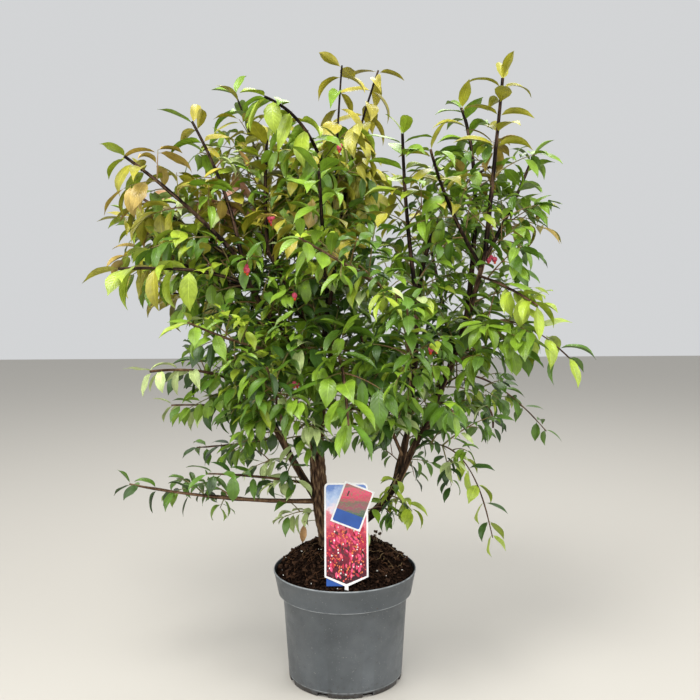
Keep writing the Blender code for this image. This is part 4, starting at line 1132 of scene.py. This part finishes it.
def make_pot():
    """The pot turned from its profile, with rounded lips and its drain slots."""
    band = POT_HEIGHT - BAND_HEIGHT
    wall = POT_WALL
    profile = (
        (0.0, 0.0), (POT_BASE_RADIUS - 0.003, 0.0), (POT_BASE_RADIUS - 0.0008, 0.0007),
        (POT_BASE_RADIUS, 0.003), (POT_WAIST_RADIUS, band - 0.002),
        (POT_WAIST_RADIUS + 0.0012, band - 0.0008), (BAND_FOOT_RADIUS - 0.0012, band),
        (BAND_FOOT_RADIUS - 0.0002, band + 0.0006),
        (BAND_FOOT_RADIUS, band + 0.002), (RIM_RADIUS - 0.0012, POT_HEIGHT - 0.0052),
        (RIM_RADIUS - 0.0002, POT_HEIGHT - 0.0040), (RIM_RADIUS, POT_HEIGHT - 0.0022),
        (RIM_RADIUS - 0.0003, POT_HEIGHT - 0.0006), (RIM_RADIUS - 0.0010, POT_HEIGHT),
        (RIM_RADIUS - wall, POT_HEIGHT - 0.0003), (BAND_FOOT_RADIUS - wall, band + 0.0025),
        (POT_WAIST_RADIUS - wall, band + 0.002), (POT_BASE_RADIUS - wall, POT_FLOOR), (0.0, POT_FLOOR),
    )
    rings = [circle(radius, height, POT_SIDES) for radius, height in profile]
    pot = mesh_piece("pot_shell", *stacked(rings, POT_SIDES), pot_material())
    cut_drains(pot)
    pot.data.set_sharp_from_angle(angle=math.radians(50.0))
    dress(pot, ("pot",))


def cut_drains(pot):
    """Slots round the foot, where the water runs out."""
    verts = []
    faces = []
    half = DRAIN_WIDTH / 2.0
    for i in range(DRAIN_COUNT):
        turn = Matrix.Rotation(2.0 * math.pi * (i + 0.5) / DRAIN_COUNT, 3, "Z")
        faces += [tuple(len(verts) + k for k in face) for face in BOX_QUADS]
        for z in (-0.004, DRAIN_HEIGHT):
            for x, y in ((-0.010, -half), (0.012, -half), (0.012, half), (-0.010, half)):
                verts.append(turn @ Vector((POT_BASE_RADIUS + x, y, z)))
    cutter = mesh_piece("drain_cutter", verts, faces, pot.data.materials[0], smooth=False)
    mod = pot.modifiers.new("drains", "BOOLEAN")
    mod.operation = "DIFFERENCE"
    mod.solver = "EXACT"
    mod.object = cutter
    graph = bpy.context.evaluated_depsgraph_get()
    graph.update()
    mesh = bpy.data.meshes.new_from_object(pot.evaluated_get(graph))
    pot.modifiers.clear()
    pot.data = mesh
    mesh.shade_smooth()
    bpy.data.objects.remove(cutter, do_unlink=True)


def soil_height(radius):
    """The heaped mix, flush with the rim at its edge and level round the stems."""
    share = max(0.0, min(1.0, (radius - SOIL_SEAT_RADIUS) / (SOIL_RADIUS - SOIL_SEAT_RADIUS)))
    return SOIL_EDGE + (SOIL_TOP - SOIL_EDGE) * (1.0 - share ** 1.7)


def soil_point(x, y):
    """A point of the rough top of the mix."""
    radius = math.hypot(x, y)
    rough = 0.0
    for scale, seed, high in SOIL_ROUGHNESSES:
        rough += noise.noise(Vector((x * scale, y * scale, seed))) * high
    fade = max(0.0, min(1.0, (SOIL_RADIUS - radius) / 0.01))
    return Vector((x, y, soil_height(radius) - SOIL_SUNK + rough * (0.3 + 0.7 * fade)))


def make_soil():
    """The potting mix: a plain body in the pot under a rough heaped top."""
    floor = POT_FLOOR + SOIL_GAP
    foot = POT_BASE_RADIUS - SOIL_INSET
    waist = POT_WAIST_RADIUS - SOIL_INSET
    body = ((0.0, floor), (foot, floor), (waist, SOIL_SHOULDER))
    rings = [circle(radius, height, SOIL_SIDES) for radius, height in body]
    for i in range(SOIL_RINGS):
        level = circle(SOIL_RADIUS * (1.0 - i / SOIL_RINGS), 0.0, SOIL_SIDES)
        rings.append([soil_point(x, y) for x, y, z in level])
    rings.append([soil_point(0.0, 0.0)])
    mat = soil_material("soil_look", (17, 11, 9), (48, 34, 26), 330.0)
    soil = mesh_piece("soil_mix", *stacked(rings, SOIL_SIDES), mat)
    dress(soil, ("soil",))


def scatter(pile, rnd, count, size_low, size_high, flat, lift):
    """Small worn lumps lying on the mix, each a box with its corners moved about."""
    for _ in range(count):
        radius = LITTER_REACH * math.sqrt(rnd.random())
        angle = rnd.uniform(0.0, 2.0 * math.pi)
        spot = soil_point(radius * math.cos(angle), radius * math.sin(angle))
        if math.hypot(spot.x - TRUNK_FOOT.x, spot.y) < TRUNK_KEEP:
            continue
        size = rnd.uniform(size_low, size_high)
        scale = Vector((size, size * rnd.uniform(0.25, 0.75), size * flat * rnd.uniform(0.6, 1.3)))
        turn = Matrix.Rotation(rnd.uniform(0.0, 6.28), 3, "Z")
        for axis in ("X", "Y"):
            turn = turn @ Matrix.Rotation(rnd.uniform(-0.5, 0.5), 3, axis)
        verts = []
        for corner in BOX:
            worn = Vector([corner[i] * scale[i] * rnd.uniform(0.55, 1.0) / 2.0 for i in range(3)])
            verts.append(spot + UP * (lift * size) + turn @ worn)
        pile.add(verts, BOX_QUADS)


def straw(pile, rnd, length, radius):
    """A thin dry stalk or rootlet lying on the mix."""
    angle = rnd.uniform(0.0, 2.0 * math.pi)
    middle = STRAW_REACH * math.sqrt(rnd.random())
    place = Vector((middle * math.cos(angle), middle * math.sin(angle)))
    heading = rnd.uniform(0.0, 2.0 * math.pi)
    way = Vector((math.cos(heading), math.sin(heading)))
    across = Vector((-way.y, way.x))
    points = []
    for i in range(6):
        bent = place + way * (length * (i / 5.0 - 0.5)) + across * (0.15 * length * (i / 5.0) ** 2)
        points.append(soil_point(bent.x, bent.y) + UP * STRAW_LIFT)
    pile.add(*lofted(points, [radius] * 6, 4)[:2])


def make_sprouts():
    """Thread-like sprouts with small dark heads, beside the large label."""
    rnd = random.Random(31)
    stalks = Pile()
    heads = Pile()
    for x, y, tall in SPROUTS:
        foot = soil_point(x, y)
        tip = foot + Vector((rnd.uniform(-0.004, 0.004), 0.0, tall))
        points = [foot.lerp(tip, i / 4.0) for i in range(5)]
        stalks.add(*lofted(points, [SPROUT_RADIUS] * 5, 4)[:2])
        for _ in range(3):
            spot = tip + Vector([rnd.uniform(-0.0022, 0.0022) for _ in range(3)])
            verts = [spot + Vector([c * rnd.uniform(0.0014, 0.0026) for c in corner]) for corner in BOX]
            heads.add(verts, BOX_QUADS)
    pale = speckled_material("sprout_pale", (150, 132, 104), (196, 184, 156), 0.7, 200.0)
    dress(stalks.piece("sprout_stalks", pale), ())
    dark = speckled_material("sprout_dark", (40, 30, 22), (92, 72, 50), 0.8, 300.0)
    dress(heads.piece("sprout_heads", dark), ())


def make_litter():
    """Crumbs, bark chips, perlite, straws and fibres strewn over the mix."""
    rnd = random.Random(5)
    kinds = (
        ("crumbs_dark", 1100, 0.0024, 0.0062, 0.7, 0.15,
         speckled_material("crumb", (12, 8, 6), (40, 28, 21), 0.95, 160.0, 0.05)),
        ("bark_chips", 330, 0.0060, 0.0160, 0.30, 0.12,
         speckled_material("chip", (18, 12, 9), (82, 57, 41), 0.9, 90.0, 0.08)),
        ("perlite", 34, 0.0016, 0.0038, 0.8, 0.25,
         speckled_material("perlite", (196, 194, 186), (232, 230, 224), 0.85, 200.0)),
    )
    for name, count, low, high, flat, lift, mat in kinds:
        pile = Pile()
        scatter(pile, rnd, count, low, high, flat, lift)
        piece = pile.piece(name, mat)
        piece.data.shade_flat()
        dress(piece, ())
    stalks = (
        ("straws", 36, 0.012, 0.040, 0.0004, 0.0008,
         speckled_material("straw", (92, 72, 48), (150, 124, 86), 0.8, 90.0)),
        ("fibres", 260, 0.008, 0.026, 0.0003, 0.0007,
         speckled_material("fibre", (44, 29, 20), (108, 76, 52), 0.9, 140.0, 0.1)),
    )
    for name, count, shortest, longest, thin, thick, mat in stalks:
        pile = Pile()
        for _ in range(count):
            straw(pile, rnd, rnd.uniform(shortest, longest), rnd.uniform(thin, thick))
        dress(pile.piece(name, mat), ())


# Labels

def card_place(across, height, forward):
    """A place on the leaning card, from its foot: across, up the card, and out to the front."""
    up = Vector((0.0, math.sin(CARD_LEAN), math.cos(CARD_LEAN)))
    front = Vector((0.0, -math.cos(CARD_LEAN), math.sin(CARD_LEAN)))
    return CARD_FOOT + Vector((across, 0.0, 0.0)) + up * height + front * forward


def card_outline(inset):
    """The large card's outline without its spike, drawn in by an inset."""
    half = CARD_WIDTH / 2.0 - inset
    top = CARD_HEIGHT - inset
    corner = CARD_CORNER - inset * 0.5
    outline = [(0.0, 0.003 + inset * 1.1), (half, CARD_SHOULDER + inset * 0.6)]
    for step in range(7):
        angle = math.pi / 2.0 * step / 6.0
        outline.append((half - corner * (1.0 - math.cos(angle)), top - corner * (1.0 - math.sin(angle))))
    return outline + [(-across, height) for across, height in reversed(outline[1:])]


def turned_corners(low, high, rounded=(0.0, 0.0)):
    """A rectangle on the small card, in its turned frame, with its lower and upper corners rounded."""
    turn = Matrix.Rotation(SMALL_CARD_TURN, 2)
    outline = []
    corners = ((high[0], low[1], 0), (high[0], high[1], 1), (low[0], high[1], 2), (low[0], low[1], 3))
    for x, y, quarter in corners:
        radius = rounded[1] if quarter in (1, 2) else rounded[0]
        middle = Vector((x - math.copysign(radius, x), y - (radius if quarter in (1, 2) else -radius)))
        for step in range(5 if radius else 1):
            angle = math.pi / 2.0 * (quarter - 1 + step / 4.0)
            outline.append(middle + radius * Vector((math.cos(angle), math.sin(angle))))
    return [SMALL_CARD_MIDDLE + turn @ corner for corner in outline]


def panel(name, outline, forward, mat):
    """A flat printed panel on a card, with its UV running 0 to 1 over its box."""
    verts = [tuple(card_place(x, y, forward)) for x, y in outline]
    mesh = new_mesh(name, verts, [tuple(range(len(verts)))], mat)
    low = [min(p[i] for p in outline) for i in range(2)]
    high = [max(p[i] for p in outline) for i in range(2)]
    layer = mesh.uv_layers.new(name="UVMap")
    for loop in mesh.loops:
        x, y = outline[loop.vertex_index]
        layer.data[loop.index].uv = ((x - low[0]) / (high[0] - low[0]), (y - low[1]) / (high[1] - low[1]))
    return link(name, mesh)


def print_material(name, stops, fleck, shares, scale, reach):
    """A glossy print: bands of colour up the panel, broken by noise, with flecks of another colour."""
    shader = Shader(name, stops[0][1], 0.22, 0.5)
    place = shader.coords("UV", (0.42, 1.0, 1.0))
    height = shader.split(shader.coords("UV"))[1]
    wander = shader.minus(shader.noise(place, scale, 6.0, 0.65), 0.5)
    bands = shader.ramp(shader.plus(height, shader.times(wander, 0.55)), stops)
    cells = shader.ramp(shader.cells(place, scale * 4.0), shares)
    mask = shader.ramp(height, ((reach - 0.12, 1.0), (reach + 0.12, 0.0)))
    share = shader.times(cells, mask)
    shader.put(shader.mix(share, bands, fleck), "Base Color")
    shader.bump(shader.noise(place, 60.0, 2.0), 0.03, 0.0003)
    return shader.mat


def card_material(name, colour):
    """Glossy card stock, very slightly uneven."""
    shader = Shader(name, colour, 0.28, 0.5)
    place = shader.coords()
    light = tuple(min(255, c + 6) for c in colour)
    dark = tuple(c * 0.93 for c in colour)
    shader.put(shader.patches(place, 60.0, ((0.3, dark), (0.7, light)), 3.0), "Base Color")
    shader.bump(shader.noise(place, 140.0, 3.0), 0.05, 0.0004)
    return shader.mat


def printed_leaf(x, y, length, width, turn):
    """The outline of a small plain leaf as a print motif."""
    points = []
    for sign in (1.0, -1.0):
        for step in range(7):
            t = step / 6.0 if sign > 0 else 1.0 - step / 6.0
            if sign < 0 and step in (0, 6):
                continue
            across = sign * width / 2.0 * math.sin(math.pi * t) ** 0.8
            along = length * (t - 0.5)
            points.append((x + along * math.cos(turn) - across * math.sin(turn),
                           y + along * math.sin(turn) + across * math.cos(turn)))
    return points


def make_motifs():
    """Plain leaves and berries strewn over the large card's lower part, each colour one piece."""
    rnd = random.Random(21)
    kinds = (
        ("maroon", (82, 20, 34), 60, False), ("crimson", (176, 22, 52), 52, False),
        ("pink", (228, 74, 116), 46, False), ("orange", (226, 120, 58), 96, True),
        ("white", (240, 226, 222), 26, True),
    )
    for number, (name, colour, count, small) in enumerate(kinds):
        forward = CARD_THICKNESS + MOTIF_LIFT + number * MOTIF_STEP
        verts = []
        faces = []
        for _ in range(count):
            y = rnd.uniform(MOTIF_LOW, MOTIF_HIGH)
            x = rnd.uniform(-MOTIF_SIDE, MOTIF_SIDE)
            length = rnd.uniform(0.0020, 0.0042) if small else rnd.uniform(0.006, 0.014)
            width = length * (0.75 if small else 0.42)
            outline = printed_leaf(x, y, length, width, rnd.uniform(0.9, 2.3) + (0.0 if small else 0.25))
            faces.append(tuple(range(len(verts), len(verts) + len(outline))))
            verts += [card_place(px, py, forward) for px, py in outline]
        mat = card_material("motif_" + name, colour)
        dress(mesh_piece("motif_" + name, verts, faces, mat, smooth=False), ())


def make_labels():
    """Cards with plain printed panels: a sky over crimson leaves, and a red one with a blue foot."""
    white = card_material("card_white", (232, 232, 230))
    blue = card_material("card_blue", (26, 76, 156))
    for name, mat in (("card_large", white), ("card_small", white), ("card_strip", blue)):
        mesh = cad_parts[name].data
        mesh.materials.clear()
        mesh.materials.append(mat)
    bands = ((0.06, (52, 12, 24)), (0.26, (112, 20, 42)), (0.42, (168, 30, 60)), (0.56, (186, 66, 88)),
             (0.68, (216, 128, 138)), (0.76, (228, 212, 218)), (0.86, (176, 196, 226)), (1.0, (98, 132, 196)))
    mat = print_material("print_large", bands, (226, 96, 84), ((0.20, 1.0), (0.32, 0.0)), 8.0, 0.62)
    outline = card_outline(LARGE_BORDER)
    dress(panel("print_large", outline, CARD_THICKNESS + PRINT_LIFT, mat), ())
    make_motifs()
    top = 2.0 * CARD_THICKNESS + CLEARANCE + PRINT_LIFT
    wide = SMALL_CARD[0] / 2.0 - SMALL_BORDER
    tall = SMALL_CARD[1] / 2.0 - SMALL_BORDER
    parting = -tall * 0.36
    bands = ((0.0, (46, 84, 62)), (0.16, (92, 104, 88)), (0.30, (150, 78, 92)), (0.44, (116, 100, 84)),
             (0.58, (204, 62, 92)), (0.80, (218, 84, 108)), (0.92, (132, 112, 100)), (1.0, (176, 96, 100)))
    mat = print_material("print_small", bands, (112, 128, 84), ((0.24, 0.9), (0.36, 0.0)), 9.0, 0.95)
    upper_part = turned_corners((-wide, parting), (wide, tall), (0.0, 0.003))
    dress(panel("print_small", upper_part, top, mat), ())
    foot = turned_corners((-wide, -tall), (wide, parting), (0.003, 0.0))
    dress(panel("print_small_foot", foot, top, blue), ())
    # The slot in the small card is drawn as a near-black patch: painted shade seen through it.
    slot = turned_corners((-0.0012, -0.005), (0.0012, 0.005))
    shift = Matrix.Rotation(SMALL_CARD_TURN, 2) @ Vector((-0.016, 0.020))
    slot = [corner + shift for corner in slot]
    dark = card_material("slot_painted_shade", (22, 20, 20))
    dress(panel("small_card_slot_shade", slot, top + PRINT_LIFT, dark), ())


# Camera, light and floor

FLOOR_HALF = 6.0
WHITE = (1.0, 1.0, 1.0)

# Lamps: name, place, height on the middle line that they point at, size, power and colour
LAMPS = (
    ("key", (-0.5, -1.35, 3.3), 0.85, 1.3, 82.0, (1.0, 0.985, 0.95)),
    ("front", (0.3, -3.2, 1.9), 0.80, 2.6, 37.0, WHITE),
    ("fill_right", (2.2, -1.2, 2.0), 0.85, 1.8, 36.0, WHITE),
    ("fill_left", (-2.2, -1.1, 1.8), 0.85, 1.8, 28.0, WHITE),
    ("back", (0.4, 2.0, 3.0), 0.90, 1.6, 36.0, WHITE),
)


def set_camera():
    data = bpy.data.cameras.new("photo_camera")
    data.sensor_width = SENSOR
    data.lens = FOCAL_PIXELS * SENSOR / PHOTO_WIDTH
    camera = link("photo_camera", data)
    camera.matrix_world = camera_matrix()
    bpy.context.scene.camera = camera


def add_light(name, place, target_height, size, power, colour):
    data = bpy.data.lights.new(name, "AREA")
    data.shape = "DISK"
    data.size = size
    data.energy = power
    data.color = colour
    lamp = link(name, data)
    lamp.location = place
    lamp.rotation_mode = "QUATERNION"
    lamp.rotation_quaternion = (UP * target_height - Vector(place)).to_track_quat("-Z", "Y")


def set_stage():
    bpy.context.scene.view_settings.view_transform = "Standard"
    verts = [(x * FLOOR_HALF, y * FLOOR_HALF, 0.0) for x, y in ((-1, -1), (1, -1), (1, 1), (-1, 1))]
    shader = Shader("floor", (184, 180, 172), 0.6, 0.3)
    floor = mesh_piece("floor", verts, [(0, 1, 2, 3)], shader.mat, smooth=False)
    world = bpy.data.worlds.new("studio")
    bpy.context.scene.world = world
    world.use_nodes = True
    sky = world.node_tree.nodes["Background"]
    sky.inputs["Color"].default_value = (0.97, 0.985, 1.0, 1.0)
    sky.inputs["Strength"].default_value = 0.67
    for lamp in LAMPS:
        add_light(*lamp)


def main():
    arcs = make_wood(bark_material("bark_look", (72, 53, 40), (150, 122, 92), True, BARK_STOPS))
    make_crown(arcs)
    make_pot()
    make_soil()
    make_litter()
    make_sprouts()
    make_labels()
    set_camera()
    set_stage()


main()
